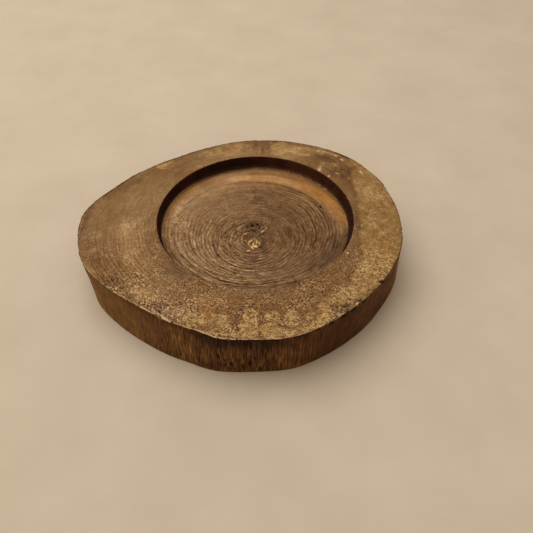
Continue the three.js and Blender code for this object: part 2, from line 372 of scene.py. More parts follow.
rimPatches = {
    "tone": [
        (35, 35.6, 3, 0.9, -44, -0.1), (43, 13, 1.6, 3, 0, -0.07), (48, 11.5, 1.8, 3, 10, -0.06),
        (-57, 5, 2.4, 3.4, 0, 0.06), (-44.6, 3, 2.4, 2, 0, 0.05), (-36.5, 11, 2.4, 5, 0, 0.05),
        (-7.5, -50, 1.8, 1.6, 0, -0.08), (1, -44, 6, 1.6, 0, -0.05), (25, -38, 1.8, 3, 0, -0.06),
        (-58, -14, 2.4, 3, 0, -0.05), (37.4, -8, 1.4, 5, 0, -0.06), (5, -47, 3, 3, 0, -0.05),
        (12, 42, 6, 2, 0, 0.03), (-46, 2, 22, 15, 80, 0.13), (-54, 5, 12, 5, 96, -0.07),
        (-43, -9, 4, 7, 0, 0.06), (-28, -37, 4, 2.4, 0, 0.08), (-4, -33, 3, 1.6, 0, 0.06),
        (-15, 34, 14, 4, 22, 0.17), (3, 38, 4, 3, 0, 0.1), (-47, 1, 5, 3, 0, -0.06),
        (-48, -33, 3, 2.4, 0, -0.14), (-33, -30, 2, 3, 0, -0.08), (-33, -38, 2, 1.5, 0, -0.08),
        (-35, -42.6, 2.4, 1.2, -30, -0.1), (10.5, -30.5, 5, 3.4, 0, -0.07), (18, -38.5, 7, 3, 25, -0.06),
        (-8, -51, 2, 1.2, 0, -0.1), (38, 24, 1.6, 2, 0, -0.1), (40, -3, 2, 2.5, 0, -0.07),
        (36, -10, 1.4, 3, 0, -0.07), (48, -19, 1.6, 2.4, -20, -0.08), (47, 18, 1.6, 2.4, 20, -0.08),
        (-34, 30, 2.6, 2, 40, 0.1), (-32, 16, 1.8, 3, 0, 0.1), (-48, -8, 3, 3, 0, 0.08),
        (-44, -21, 3, 2.5, 0, 0.08), (-54, -20, 2.5, 2.5, 0, 0.08), (-5, 42, 2, 2, 0, 0.12),
        (-14.6, 40, 3, 2, 15, -0.06), (18.5, 41, 4.4, 1.6, -20, 0.12), (14, 34.6, 3, 1.4, 0, 0.1),
        (41, 26, 1.6, 2, 0, 0.12), (13, -47.8, 4, 2.6, 0, 0.08), (6, 46.2, 7, 0.9, 0, -0.18),
        (-52, -32, 3, 2.4, 0, -0.06), (24, -42, 1.6, 2, 0, -0.08), (2, -49, 2.4, 2.4, 0, -0.06),
        (-2, -53, 4, 1, 0, -0.06), (41, -25, 2, 2, 0, -0.06), (29, 22, 1.4, 1.4, 0, -0.08),
        (35.4, 35.2, 2.4, 1, -44, -0.12), (-4, 43, 2, 1.2, 0, 0.1), (31, 30, 2, 2, 0, 0.1),
        (37, 30, 1.6, 1.6, 0, 0.08), (41, 7, 2, 2, 0, 0.1), (-21, -42, 2, 1.6, 0, 0.08),
        (-39, -35, 2, 1.6, 0, 0.08), (8, -54, 3, 1, 0, 0.08), (14, -52, 2, 1, 0, 0.08),
        (-37, -22, 2, 3, 0, 0.06), (-48, 14, 2, 2, 0, -0.1), (44, 12, 6, 6, 0, 0.05),
        (14, 40, 6, 3, 0, 0.06), (-36, 17, 4, 5, 0, 0.05), (28, -36, 5, 2, 30, 0.06),
        (36.6, -4, 1.6, 4, 0, -0.08), (0, -38, 6, 2, 0, -0.07), (-26, -26, 4, 3, -45, -0.06),
        (-37, -33, 4, 3, -40, -0.07), (13, 36.5, 6, 4, -14, 0.17), (26, 38.6, 5, 1.8, -30, 0.24),
        (10.5, 41, 4, 2, 0, 0.08), (-22, 37, 4, 2, 22, 0.1), (-8, 36, 5, 2.4, 10, 0.08),
        (40, 2, 1.6, 4, 0, -0.07), (47.6, 14.5, 1.8, 5, 14, -0.06), (45.6, -20, 2, 3, 0, -0.06),
        (-6, -52, 4, 1.4, 0, -0.1), (24, -40, 1.6, 1.6, 0, -0.08), (33.5, -31, 2.6, 2, 0, 0.1),
        (27.5, 26, 2, 3, -40, -0.04), (37.5, 31, 2.5, 2.5, 0, 0.12), (25.5, 28.5, 2.4, 4, 0, 0.08),
        (-30, -32, 6, 5, 0, 0.14), (-26.5, -42.5, 3, 4, 0, 0.1), (-39, -16, 4, 9, 0, 0.07),
        (-53, -28, 3, 4, 0, 0.1), (-43, -32.5, 7, 2, -28, -0.11), (-11, -48, 5, 3, 0, 0.09),
        (-17.5, -45, 4, 2, 0, 0.1), (5, -52.4, 10, 2, 0, 0.15), (38, -32.5, 4, 2, 30, 0.12),
        (13.5, -31, 3, 3, 0, -0.1), (5, -37, 3.4, 2, 0, -0.1), (-12, -35.5, 6, 2, 0, -0.06),
        (34.6, 17.5, 2, 5, 20, -0.11), (38.3, 1, 1.6, 3.6, 0, -0.07), (36.6, -20, 1.6, 2.6, 0, -0.08),
        (-52, 15, 4.5, 1.8, 48, -0.17), (-46.5, 18.5, 3.2, 2.2, 30, -0.12), (-60.3, -2, 10, 1.3, 88, -0.16),
        (-54.2, -18.3, 2.2, 1.5, 30, 0.13), (-35.5, 14.5, 4, 2.2, 70, -0.05), (-45, -8, 3.4, 2.4, 80, 0.1),
        (-41, -21, 8, 3.4, 100, 0.1), (-53, -21, 6, 3, 120, -0.06), (-36.8, -6, 10, 1.6, 97, -0.07),
        (-35, -27, 6, 3.4, 95, 0.14), (-25, -27, 5, 2.4, -45, -0.06), (-35.5, -36.5, 6, 2.8, -36, 0.22),
        (-29, -41.8, 2.4, 1.4, -30, -0.2), (-22.5, -45, 3.4, 2, -20, 0.12), (-14.5, -40, 3.2, 4, 0, 0.12),
        (-20, -37, 7, 3, -28, 0.06), (-4.6, -46.4, 2.4, 2, 0, -0.15), (-8.5, -47.5, 1.6, 4, 0, 0.1),
        (14.8, -46.6, 1.1, 2, 0, -0.1), (8.8, -47.4, 0.8, 2.2, 0, -0.14), (2, -52, 0.7, 2, 0, -0.2),
        (12, -50, 0.8, 0.7, 0, -0.25), (0, -38, 20, 4, 0, 0.05), (24, -33, 9, 5, 35, 0.03),
        (34, 26, 5, 4, 40, -0.16), (29, 34, 5, 2.6, -30, -0.14), (25, 33, 3, 3, 0, -0.04),
        (35, 14, 4, 1.4, 95, 0.06), (37.6, 11.6, 0.9, 2.2, 0, -0.16), (-5.2, 41, 3.2, 0.6, 96, -0.06),
        (2.5, 39.8, 3.4, 0.6, 88, -0.16), (4.6, 41, 2.6, 0.5, 85, -0.14), (1, 40.4, 3, 0.5, 90, 0.12),
        (-2.5, 41, 3, 0.6, 92, 0.1), (-0.8, 43.6, 1.6, 0.5, 90, -0.12), (-1.5, 37, 4, 3, 0, 0.06),
        (-27, 31, 7, 3, 35, -0.06), (-23.3, 35, 1.2, 1.6, 0, 0.14), (-23, 28.6, 1.0, 0.8, 0, 0.14),
        (14, 45.6, 4, 0.5, -12, -0.22), (25.8, 41.9, 2.2, 0.5, -30, -0.25),
        (34.4, 36.4, 3, 0.6, -42, -0.25), (36.5, -3, 12, 1.4, 92, -0.06), (36, -23.5, 3, 2.4, 60, 0.12),
        (46.4, 1.6, 1.4, 0.7, 70, -0.2), (41.6, 16.4, 1.2, 0.7, 30, -0.12),
        (46.2, 6.5, 0.5, 1.3, 10, -0.14), (44, 4, 1.6, 0.6, 20, -0.1), (40.4, 0.4, 0.9, 0.6, -30, -0.16),
        (46, -13.5, 1.8, 0.5, -50, -0.1), (43.3, 14, 1.2, 2.2, 0, 0.1),
    ],
    "ochre": [
        (44, 9, 17, 7.2, 92, 1.0), (43, 19, 8, 5, 120, 1.0), (39.5, 31.5, 2.6, 4.6, 35, 0.7),
        (44.4, -8, 11, 7.4, 88, 1.0), (43, -19, 9, 6.6, 75, 1.0), (37.5, -29, 9, 5.2, 58, 1.0),
        (37.4, -10.4, 1.4, 3, 0, 0.9), (38.6, -16, 3, 2, 80, 0.6), (29.5, -37.6, 6.5, 3.2, 26, 1.0),
        (24.4, -39.4, 2, 1.6, 0, 0.8), (21.6, -44.6, 2.3, 4.4, 8, 1.0), (17.2, -44.8, 1.4, 1.5, 0, 0.85),
        (18.5, -48.6, 5, 1.8, 22, 0.9), (11.8, -46.4, 2.3, 3.8, 0, 1.0), (6, -45.6, 2.6, 1.9, 0, 0.9),
        (5.6, -51, 3.2, 3.6, 0, 1.0), (12, -51.8, 4, 1.2, 12, 0.8), (-0.6, -45.4, 1.9, 2.6, -15, 0.95),
        (-1.2, -49.8, 2.7, 4.6, 0, 1.0), (-9, -47.6, 1.8, 3.6, 0, 0.7), (-13.4, -46.6, 2.6, 3.0, 0, 0.95),
        (-18.4, -47.2, 3.6, 2.6, -16, 0.95), (-8, -52.2, 7, 1.4, -8, 0.8),
        (-34.5, -37.6, 5.4, 2.2, -36, 0.75), (-11.5, 40.6, 7, 4.2, 16, 1.0), (-18, 37.4, 4.4, 2.4, 20, 0.9),
        (9.5, 41, 4.4, 4.2, 0, 1.0), (17, 39.4, 7, 3.6, -20, 1.0), (7.6, 36.8, 3, 1.6, -6, 0.6),
        (-37, 28.6, 2.4, 1.9, 20, 1.0), (-33.9, 31.2, 1.4, 1.6, 0, 0.8), (-54.2, -18.4, 2.4, 1.5, 30, 0.6),
        (49.3, -3, 0.9, 2.4, -10, 0.9),
    ],
    "warm": [
        (-42, -15, 12, 3.4, 97, 0.22), (-14.6, -40, 3.6, 4.2, 0, 0.2), (-9, -40, 10, 3.4, 0, 0.25),
        (-37, -26, 5, 4, 60, 0.2), (39, 30, 5, 3.2, -50, 0.7), (45, -9, 7, 2.6, 86, 0.35),
        (46, 3, 5, 2, 85, 0.3), (44, -18, 6, 3, 75, 0.3), (33, -33, 4, 3, 50, 0.25),
        (5, -51, 3, 2.5, 0, 0.25), (-13, -44, 2.5, 3, 0, 0.5), (2, -51, 1.5, 3, 0, 0.3),
        (18, -33, 12, 4, 28, 0.15), (-10.5, 39.5, 2.2, 1.6, 0, 0.4), (22, -45, 2, 3, 0, 0.2),
    ],
    "grey": [
        (-26, -27.5, 9, 4.6, -46, 0.8), (-36.3, -8, 14, 1.8, 96, 0.7), (36.3, -2, 13, 1.6, 92, 0.7),
        (33.5, -15, 6, 1.8, 66, 0.5), (-28.5, -42, 4, 2.2, -31, 0.9), (-22, -45.6, 4, 2.4, -20, 0.7),
        (26.4, -45.4, 3.4, 2.2, 32, 0.9), (29.4, -41.2, 1.6, 2.0, 10, 0.8), (2, -36, 19, 2.6, 0, 0.8),
        (-27, 31, 8, 4, 35, 0.5), (0, 36, 9, 1.4, 0, 0.6), (-5.5, -46, 2, 2.4, 0, 0.6),
        (36, -23.5, 4, 3, 60, 0.5), (24.5, 32, 3, 5, -30, 0.3), (-46, 18, 5, 3, 40, 0.3),
        (8, -52, 6, 0.8, 6, 0.5), (34.6, 14, 4, 1.4, 100, 0.4), (-22.4, 35.4, 2.4, 2, 0, 0.6),
        (-59, -7, 2.6, 9, 0, 0.8), (-36, 18, 4, 5, 0, 0.3), (0, -32, 10, 2, 0, 0.3),
        (-24, -39, 5, 3, -30, 0.3), (38, -22, 3, 5, 20, 0.3),
    ],
    "dark": [
        (29.0, -41.0, 1.5, 1.0, 60, 0.62), (27.8, -42.0, 0.8, 0.7, 0, 0.5),
        (32.6, -39.4, 1.3, 0.4, -10, 0.8), (31.2, -42.6, 0.9, 0.4, 60, 0.5), (44, 4, 1.3, 0.4, 20, 0.5),
        (46.6, 6.4, 0.35, 1.1, 10, 0.45), (41.1, 3.2, 0.5, 0.9, 20, 0.45), (40.3, 0.4, 0.8, 0.45, -30, 0.5),
        (46.8, 1.8, 1.0, 0.45, 60, 0.5), (43.4, 0.6, 0.7, 0.4, 0, 0.42), (41.8, 16.4, 1.0, 0.5, 30, 0.4),
        (38.6, -12.4, 0.5, 0.4, 0, 0.4), (28.6, -43.8, 1.4, 0.4, 20, 0.6), (25.6, -45.9, 0.5, 0.4, 0, 0.5),
        (-28.8, -43.9, 1.3, 0.4, -36, 0.8), (-37.8, -38.8, 0.8, 0.35, -36, 0.55),
        (-44, -35.6, 0.7, 0.35, -40, 0.45), (-42, -37.2, 0.6, 0.3, -40, 0.45),
        (-17.2, -48.6, 1.2, 0.35, -20, 0.6), (-24.8, -44.6, 1.2, 0.35, -10, 0.5),
        (-30.6, -41.6, 0.5, 0.9, 20, 0.4), (-39, -38.2, 0.7, 0.4, -30, 0.5),
        (-45.4, -33.8, 0.4, 0.8, 20, 0.45), (-32.4, -37.6, 0.7, 0.35, -30, 0.7),
        (-27.6, -35.4, 0.8, 0.35, -10, 0.6), (-35.3, -36.0, 0.6, 0.4, 0, 0.4),
        (40.8, -31.5, 1.0, 0.55, 25, 1.2), (-24, -48.2, 0.9, 0.4, -20, 0.6),
        (-19.8, -50, 0.8, 0.35, -20, 0.6), (12, -50.1, 0.5, 0.45, 0, 0.5), (15, -47.3, 0.5, 0.7, 0, 0.4),
        (35.2, 2.6, 0.8, 0.5, 90, 0.5), (-43, -36.4, 0.7, 0.3, -40, 0.4), (-12.8, -48.4, 0.35, 1.2, 0, 0.4),
        (-15.4, -47.4, 0.3, 1.2, -20, 0.4), (8.4, -46, 0.4, 0.9, 0, 0.4),
    ],
    "fray": [
        (-35, -35.5, 12, 4, -38, 0.6), (-24, -44, 8, 3.4, -28, 0.9), (-10, -46, 10, 5, -8, 0.5),
        (10, -46, 14, 6, 12, 0.5), (28, -41, 7, 4.5, 36, 0.9), (31, 29, 6, 6, 0, 0.35),
        (-44.5, -7, 3.4, 2.4, 80, 0.8), (36, -23, 4, 4, 60, 0.6), (45, 2, 6, 2.5, 90, 0.4),
        (20, -32, 12, 4, 34, 0.4), (0, -39, 16, 3, 0, 0.35),
    ],
    "coarse": [
        (-36, -38, 12, 3.6, -38, 0.1), (-49, -29, 10, 5.5, -48, -0.45), (-20, -48, 14, 3.4, -22, 0.4),
        (2, -38, 16, 5, 0, -0.2), (-46, -17, 10, 8, 0, -0.25), (31, 29, 8, 7, 0, 0.3),
        (43, 3, 5, 4, 0, 0.3), (46, 8, 5, 5, 0, 0.35),
    ],
    "lined": [  # where the rings stand out as threads and strokes
        (-44, -27, 18, 9, -52, 0.9), (-38, -8, 16, 4, 96, 0.5),
    ],
    "chips": [  # bare, light wood
        (31.2, -19.1, 0.42, 0.42, 0, 1.5), (40.6, -32.3, 0.5, 0.4, 0, 1.6),
        (31.6, 24.1, 1.4, 0.45, -38, 0.7), (30.5, -40.9, 0.4, 1.2, -20, 0.7),
        (31.8, -40.6, 0.35, 0.9, -40, 0.6), (25.8, -44.9, 0.9, 0.35, 40, 0.7),
        (24.4, -43.8, 0.35, 0.9, 10, 0.6), (27.6, -44.2, 0.9, 0.3, 30, 0.6),
        (30.8, 36.4, 2.4, 0.5, -34, 0.6), (28.2, 37.8, 1.6, 0.45, -30, 0.5),
        (33.9, 33.2, 1.2, 0.5, -44, 0.55), (24.5, 26.4, 0.9, 1.2, -10, 0.45),
        (40.4, 25.2, 0.5, 1.1, 20, 0.48), (33.2, 28.9, 1.6, 0.35, 40, 0.45),
        (27.8, 22.2, 0.8, 0.45, -50, 0.45), (35.4, 21, 0.7, 0.8, 0, 0.55), (28.2, 22.6, 0.6, 0.5, 40, 0.8),
        (31.6, 35.4, 0.7, 0.8, 0, 0.5), (41, 24.8, 0.55, 1.9, 14, 0.55), (25.2, 28.6, 0.9, 2.8, -8, 0.42),
        (31.4, 30.4, 2.6, 0.6, 52, 0.42), (33.9, 32.4, 0.8, 1.0, 0, 0.42), (24.8, 38.9, 0.8, 0.7, 0, 0.7),
        (27, 38.4, 0.9, 0.6, -30, 0.45), (5.6, 44.8, 0.5, 1.3, 0, 0.5), (-6.8, 44, 0.7, 0.5, 0, 0.4),
        (-44.4, 3.4, 1.0, 0.5, 0, 0.35), (-27.4, -45.9, 1.3, 0.4, -32, 0.65),
        (-25.8, -47, 0.8, 0.35, -40, 0.6), (-30.4, -43.8, 1.4, 0.35, -36, 0.6),
        (-21.8, -48, 1.4, 0.35, -20, 0.6), (-44.6, -6.8, 0.5, 1.2, 20, 0.6),
        (-42.4, -5.8, 0.4, 1.3, 5, 0.6), (-47, -5.8, 0.4, 1.3, 12, 0.5), (-37.5, -15.6, 0.4, 0.8, 20, 0.6),
        (37.3, -9.4, 0.7, 0.7, 0, 0.5), (49.2, -2.8, 0.4, 0.9, 0, 0.5), (10.9, -43.4, 0.5, 0.4, 0, 0.7),
        (19.8, -39.8, 0.8, 0.35, -40, 0.6), (17, -38.8, 0.9, 0.4, 25, 0.45), (14, -40.8, 1.1, 0.4, 10, 0.4),
        (-39.4, -33.2, 0.4, 0.9, 0, 0.7), (-36.6, -34.6, 0.4, 0.8, 20, 0.6),
        (-35.4, -37.2, 0.5, 0.9, 0, 0.6), (34.9, 1.4, 0.8, 0.6, 0, 0.5), (34.2, -2.6, 0.5, 0.5, 0, 0.5),
        (45, -8.6, 0.4, 0.7, 0, 0.5), (-49.5, -20.6, 0.8, 0.35, -40, 0.5), (-8.2, -42.4, 0.6, 0.8, 10, 0.5),
    ],
}

floorPatches = {
    # the light patches against the left wall, at (-33, -10), (-25, -20.8) and (-25, -14), are painted light
    # that evens out the wall's shade
    "tone": [
        (-31, 15, 3, 14, 12, 0.05), (-33, -10, 1.5, 4, 20, 0.12), (-25, -20.8, 3.6, 1.5, -40, 0.1),
        (-10, 29, 11, 2.2, 14, 0.06), (8, 29, 9, 2, -10, 0.07), (-17, 17.6, 3, 1.2, 30, -0.08),
        (-17, 21.6, 2.6, 1.6, 30, 0.08), (6, 22, 11, 2.2, -10, 0.06), (-6, 17.5, 5, 4, 0, 0.03),
        (11, -6, 2.6, 3, 0, -0.05), (-10, -19, 5, 2, -30, -0.04), (-22, 18, 3.6, 3, 40, 0.07),
        (8, 12, 4, 4, 0, -0.03), (-27, 2, 16, 5, 84, 0.16), (-19, 20, 15, 7, 42, 0.17),
        (-15, 19.5, 6, 2, 34, 0.06), (-22, -12, 1.8, 2.4, 30, -0.08), (0, -24.4, 5, 1.2, 0, 0.08),
        (-10, -18.4, 2.4, 1.4, -40, -0.06), (-8.4, -24.8, 1.6, 2, 0, -0.07), (12.4, -19, 2, 2, 0, -0.07),
        (18, 11, 2, 2, 0, -0.07), (24, -1, 1.6, 2, 0, -0.06), (21, -4, 1.8, 2, 0, -0.07),
        (14, -3, 1.6, 2, 0, -0.06), (-17.6, 3, 2, 1.6, 50, -0.06), (-30, -9, 1.4, 2, 0, -0.08),
        (-25.4, -21, 2, 1.2, -40, 0.1), (5.6, -21.4, 2, 1.2, 0, 0.06), (29.5, 3, 2.4, 2, 0, -0.08),
        (-9, 27.6, 3, 1.2, 14, 0.1), (11, 26.6, 3, 1.4, -20, 0.08), (-15, 5, 10, 6, 0, 0.06),
        (-17, -7, 4, 4, 0, 0.07), (13.4, -4, 8, 3, 104, -0.09), (5, 0, 3.6, 4, 0, -0.08),
        (20.5, 1, 3.4, 4.4, 0, -0.05), (-25, -14, 6.5, 2, -60, 0.14), (-17, -21.5, 3, 1.8, -40, 0.09),
        (-9.6, -8, 1.6, 3.4, 0, 0.09), (8, -13, 2, 3, 0, 0.06), (8.5, -18.4, 4, 1.6, 20, 0.07),
        (-0.6, -16, 2.2, 5, 0, -0.08), (25.4, -18, 1.6, 4.4, -40, -0.11), (3, -25, 2.4, 1.2, 0, -0.06),
        (-18, 3.4, 3, 1.5, 50, -0.08), (-10.5, 8, 4, 1.4, 10, -0.07), (-0.6, 17.5, 2.4, 4, 0, -0.08),
        (-6, -29, 4, 1.6, 0, 0.08), (14, -30, 2.6, 4, 0, -0.12), (-12, 9, 12, 9, 30, 0.08),
        (-19, -10, 12, 5, 110, 0.1), (23, -13, 10, 5, 62, -0.05), (21, -21, 6, 2.6, 36, -0.05),
        (29, -11, 5, 2, 70, -0.12), (0, -1.5, 4.5, 2.6, 0, -0.14), (5, -10, 4, 5, 0, -0.08),
        (0, -26, 22, 4, 0, 0.08), (-12, -16, 10, 8, 0, 0.08), (-4, 19, 9, 5, 0, 0.03),
        (-2.5, -6.4, 2.6, 1.3, 20, -0.12), (-20, 24.6, 3, 1.6, 40, -0.08), (3.6, -5.6, 2, 1.4, 0, -0.1),
        (9, -28.6, 5, 1.6, 0, -0.07), (12.4, -24, 2, 1.6, 20, -0.08), (17.6, -9, 1.8, 3, 0, -0.05),
        (-14, 3.6, 2, 1.6, 0, 0.08), (-15, -8.4, 1.8, 2.2, 0, 0.08), (-8.6, -15, 2, 2, 0, 0.08),
        (-21, 12, 2.4, 2, 0, 0.06), (-12, 22, 3, 1.2, 20, 0.08), (-16, -22, 2.4, 1.4, -30, 0.06),
        (-4, -28.4, 2.4, 1.2, 0, 0.06), (-4.4, -6, 1.6, 1.2, 0, 0.06), (1.6, 3, 2, 1.4, 30, 0.06),
        (-33, 7, 1.4, 3, 0, 0.1), (-33, 21, 1.4, 2, 0, 0.08), (24, 2, 1.6, 2.4, 0, -0.05),
        (18.6, 3.4, 1.2, 1.6, 0, -0.06), (2.4, -13.4, 3.2, 2.2, -30, -0.12),
    ],
    "warm": [
        (12, -9, 8, 9, 0, 0.2), (-27, -4, 8, 3, 85, 0.12), (22, 18, 9, 3.4, -46, 0.35),
        (31, 8, 2.4, 6, -20, -0.1), (10, 22, 9, 2.4, -18, 0.2),
    ],
    "grey": [
        (0, -25, 18, 5, 0, 0.5), (20, -21, 9, 4, 35, 0.6), (28, -11, 8, 3, 75, 0.7),
        (1, -15, 8, 6, 0, 0.35), (-22, 5, 10, 3, 80, 0.15), (-32, -9, 8, 2.2, 110, 0.5),
        (-1, -1, 5, 4, 0, 0.4), (3, -12, 5, 9, 0, 0.35), (-12, -16, 6, 6, -40, 0.4),
        (-18, -28, 8, 3, -20, 0.3),
    ],
    "dark": [
        (-1.1, -1.0, 0.6, 0.6, 10, 1.6), (0.7, -0.4, 0.6, 0.5, -20, 1.5), (-3.0, -4.2, 1.5, 0.35, 20, 0.75),
        (-2.8, -1.6, 0.35, 1.5, 0, 0.7), (-1.4, 0.7, 1.3, 0.3, 24, 0.55), (1.7, -1.0, 0.3, 0.9, -20, 0.6),
        (-0.4, -3.8, 1.3, 0.35, -8, 0.7), (-0.6, -5.6, 1.0, 0.3, 0, 0.5), (2.6, -5.6, 1.0, 0.3, 40, 0.5),
        (-4.6, -3.0, 0.35, 1.2, 30, 0.5), (0.2, -4.6, 1.2, 0.35, -30, 0.5), (1.6, -2.4, 1.6, 0.3, 56, 0.55),
        (4.6, -3.0, 1.9, 0.3, 56, 0.6), (2.9, -2.9, 1.3, 0.22, 56, 0.8), (2.2, -5.2, 0.9, 0.3, -20, 0.5),
        (-0.3, 0.8, 1.4, 0.3, 10, 0.5), (24.4, 9.6, 0.75, 0.5, -35, 1.0), (2.6, -12.6, 0.9, 0.5, -20, 0.5),
        (13.6, -28.2, 0.8, 0.5, 20, 0.8), (-8, -15.8, 1.1, 0.3, -50, 0.8),
        (-13.2, -16.6, 0.35, 1.6, 16, 0.5), (-6.4, -22.9, 1.3, 0.35, -14, 0.5),
        (-2.6, -29.5, 3.2, 0.35, 0, 0.5), (-17.5, -26, 1.2, 0.35, -40, 0.4),
        (19.4, -23.2, 1.3, 0.8, 40, 0.4),
    ],
    "chips": [
        (2.8, -4.1, 1.2, 0.28, 52, 0.9), (3.9, -2.3, 0.3, 0.9, -8, 0.7), (3.3, -1.2, 0.5, 0.25, -24, 0.6),
        (2.0, -2.6, 0.4, 1.2, -20, 0.45), (-0.4, -2.6, 0.9, 0.4, 0, 0.5), (-3.2, -5.3, 1.9, 0.3, 24, 0.75),
        (-8.8, 0.2, 1.4, 0.35, 60, 0.4), (-20.9, -10.6, 0.4, 0.9, 20, 0.7),
        (-28.6, 2.2, 0.5, 1.8, -8, 0.55), (-28.4, 9, 0.5, 1.4, -20, 0.5), (-12.4, 8.6, 0.4, 1.2, 18, 0.4),
        (-13.2, 3.4, 0.9, 0.4, 30, 0.5), (18.6, 12.6, 1.0, 0.3, -42, 0.5), (23.8, 10.4, 0.6, 0.3, -50, 0.6),
        (-23.4, -21.8, 0.4, 0.8, 40, 0.6), (16.8, -9.8, 0.4, 0.4, 0, 0.5), (9, 7.6, 0.9, 0.35, 20, 0.35),
        (15.4, 1.6, 1.2, 0.35, -30, 0.4), (-3.8, -15.8, 1.4, 0.3, -16, 0.5), (1.8, 2.8, 0.9, 0.5, 0, 0.35),
    ],
    "coarse": [
        (-18, -10, 20, 12, -50, 0.7), (-27, 0, 14, 4, 84, 0.4), (0, -25, 16, 6, 0, 0.7),
        (24, -10, 12, 6, 75, 0.3), (-2, -4, 12, 10, 0, 0.85), (6, -14, 10, 8, 0, 0.3),
        (2, 13, 15, 8, 0, 0.35),
    ],
    "lined": [
        (-17, -14, 22, 13, -52, 0.9), (0, -25, 22, 8, 0, 0.8), (22, -6, 16, 9, 82, 0.8),
        (18, 11, 11, 5, -52, 0.7), (-1, -4, 13, 12, 0, 0.5), (0.6, -6, 7, 6.4, 0, -0.55),
        (10, -16, 12, 8, 30, 0.4), (0, 14, 15, 8, 0, 0.3),
    ],
    "fleck": [
        (-0.4, -10.6, 2.3, 2.8, 0, 1.0), (-2.2, -13.8, 1.2, 0.4, 16, 0.8),
    ],
}

sideTones = [  # heading in degrees, spread, lightness, how olive
    (-165, 24, 0.21, 0.14), (-138, 22, 0.19, 0.12), (-112, 8, 0.06, 0), (-87, 20, 0.06, 0),
    (-58, 9, -0.05, 0), (-40, 18, 0.04, 0), (-18, 14, 0.16, 0.1), (95, 60, 0.02, 0.2),
]

wear = {  # rows along the heading hold its middle, spread and strength
    "waver": 0.9,  # how far the outlines of patches waver
    "smallWaver": 0.15,
    "smallMarks": ["dark", "chips", "fleck"],
    "waverSize": 4.5,
    "ripple": 0.28,
    "rippleSize": 1.3,
    "overEdge": 1.2,  # small marks of the rim go on this far down the side
    # painted shadow with a ragged edge, on the floor against the wall
    "raggedWallShadow": {"heading": 34, "spread": 46, "from": 31.4, "to": 34.6, "shade": 0.5},
    "coarse": {"floor": 0.3, "least": 0.29, "under": 0.5, "front": 0.95, "frontFrom": 4, "frontTo": -36},
    "lined": 0.2,  # how much of the rings' lines shows where nothing else says so
    "wornFront": [(-118, 42, 1), (-60, 18, 0.5)],
    "wornLine": {"onRim": 0.55, "onSide": 0.25, "tone": 0.5, "bare": 1.1, "least": 0.35},
    "darkLine": {"width": 0.5, "shade": 0.2, "left": [(178, 30, 0.1)]},
    "fray": {"edge": 0.8, "edgeWidth": 2.6, "sideWidth": 2.2, "floor": 0.25, "floorShare": 0.4},
    "paintedShadeUnderEdge": [(-100, 56, 2.4, 2, 0.14), (-92, 18, 5.2, 4, 0.29)],  # painted shade under the upper edge: heading, spread, drop, power, how dark
    "tufts": {"heading": -60, "spread": 24, "drop": 1.7, "light": 0.4},
    "standing": {"heading": -97, "spread": 28, "least": 0.15, "most": 0.95},
    "wallLight": [(48, 34, 0.14)],
    "cracked": [(-92, 22, 1), (-40, 14, 0.45)],
    "crackEnds": (16.5, 10),
    "crackShade": 0.5,
    "slitShade": 0.9,
    "chippedFront": [(-118, 30, 0.88), (-62, 22, 0.4)],
    "chippedElsewhere": 0.12,
    "chipReach": (1.5, 0.15),
}

relief = {  # depths and reaches in millimetres
    "floorSag": 0.12,
    "floorRoughness": 0.1,
    "floorShift": {"most": 0.35, "from": 20, "to": 33, "fromX": 12, "toX": -18},
    "floorEdge": (33.6, 32.8),  # the relief calms down between these, out towards the wall
    "ringDepth": 0.07,
    "fleckDepth": 0.25,
    "rimSag": 0.2,
    "rimRoughness": 0.07,
    "rimPits": 0.55,
    "ochreRise": 0.05,
    "greySink": 0.12,
    "sideSag": 0.3,
    "sideRoughness": 0.07,
    "sideStart": (0.0, 0.8),  # the side's relief grows between these heights
    "fluteDepth": 0.22,
    "crackDepth": 0.5,
    "chipDepth": 0.75,
    "sideChipShare": 0.8,
    "pitDepth": 0.9,
    "sawDepth": 0.06,
    "sawLines": {"slant": 0.35, "bend": 0.004, "pace": 2.1, "waver": 1.4},
    "wallRoughness": 0.06,
    "nickDepth": 0.12,
    "nickReach": 1.2,
    "mouthShift": {"heading": 128, "spread": 36, "reach": 35, "width": 1.4, "most": 0.4},
    "slits": [  # heading, height, half width in degrees, half height, depth
        (-99.3, 6.2, 0.5, 1.2, 0.6), (-99.2, 3.4, 0.5, 1.0, 0.8), (-97.2, 4.0, 0.6, 1.6, 0.9),
        (-98.3, 1.6, 0.7, 0.7, 0.8), (-95.2, 6.3, 0.45, 1.3, 0.7), (-91, 4.8, 0.5, 3.4, 0.9),
        (-87.6, 1.9, 0.5, 0.8, 0.6), (-93.2, 2.6, 0.4, 1.6, 0.5), (-101, 7.8, 0.4, 1.2, 0.5),
        (-58, 16.4, 2.0, 1.1, 0.22), (-63.5, 16.8, 1.3, 0.8, 0.3), (-53.5, 16.6, 1.5, 1.0, 0.22),
        (-69, 16.9, 1.8, 0.6, 0.2), (-74.5, 17, 1.1, 0.5, 0.2), (-48.5, 16.8, 1.2, 0.8, 0.15),
    ],
}


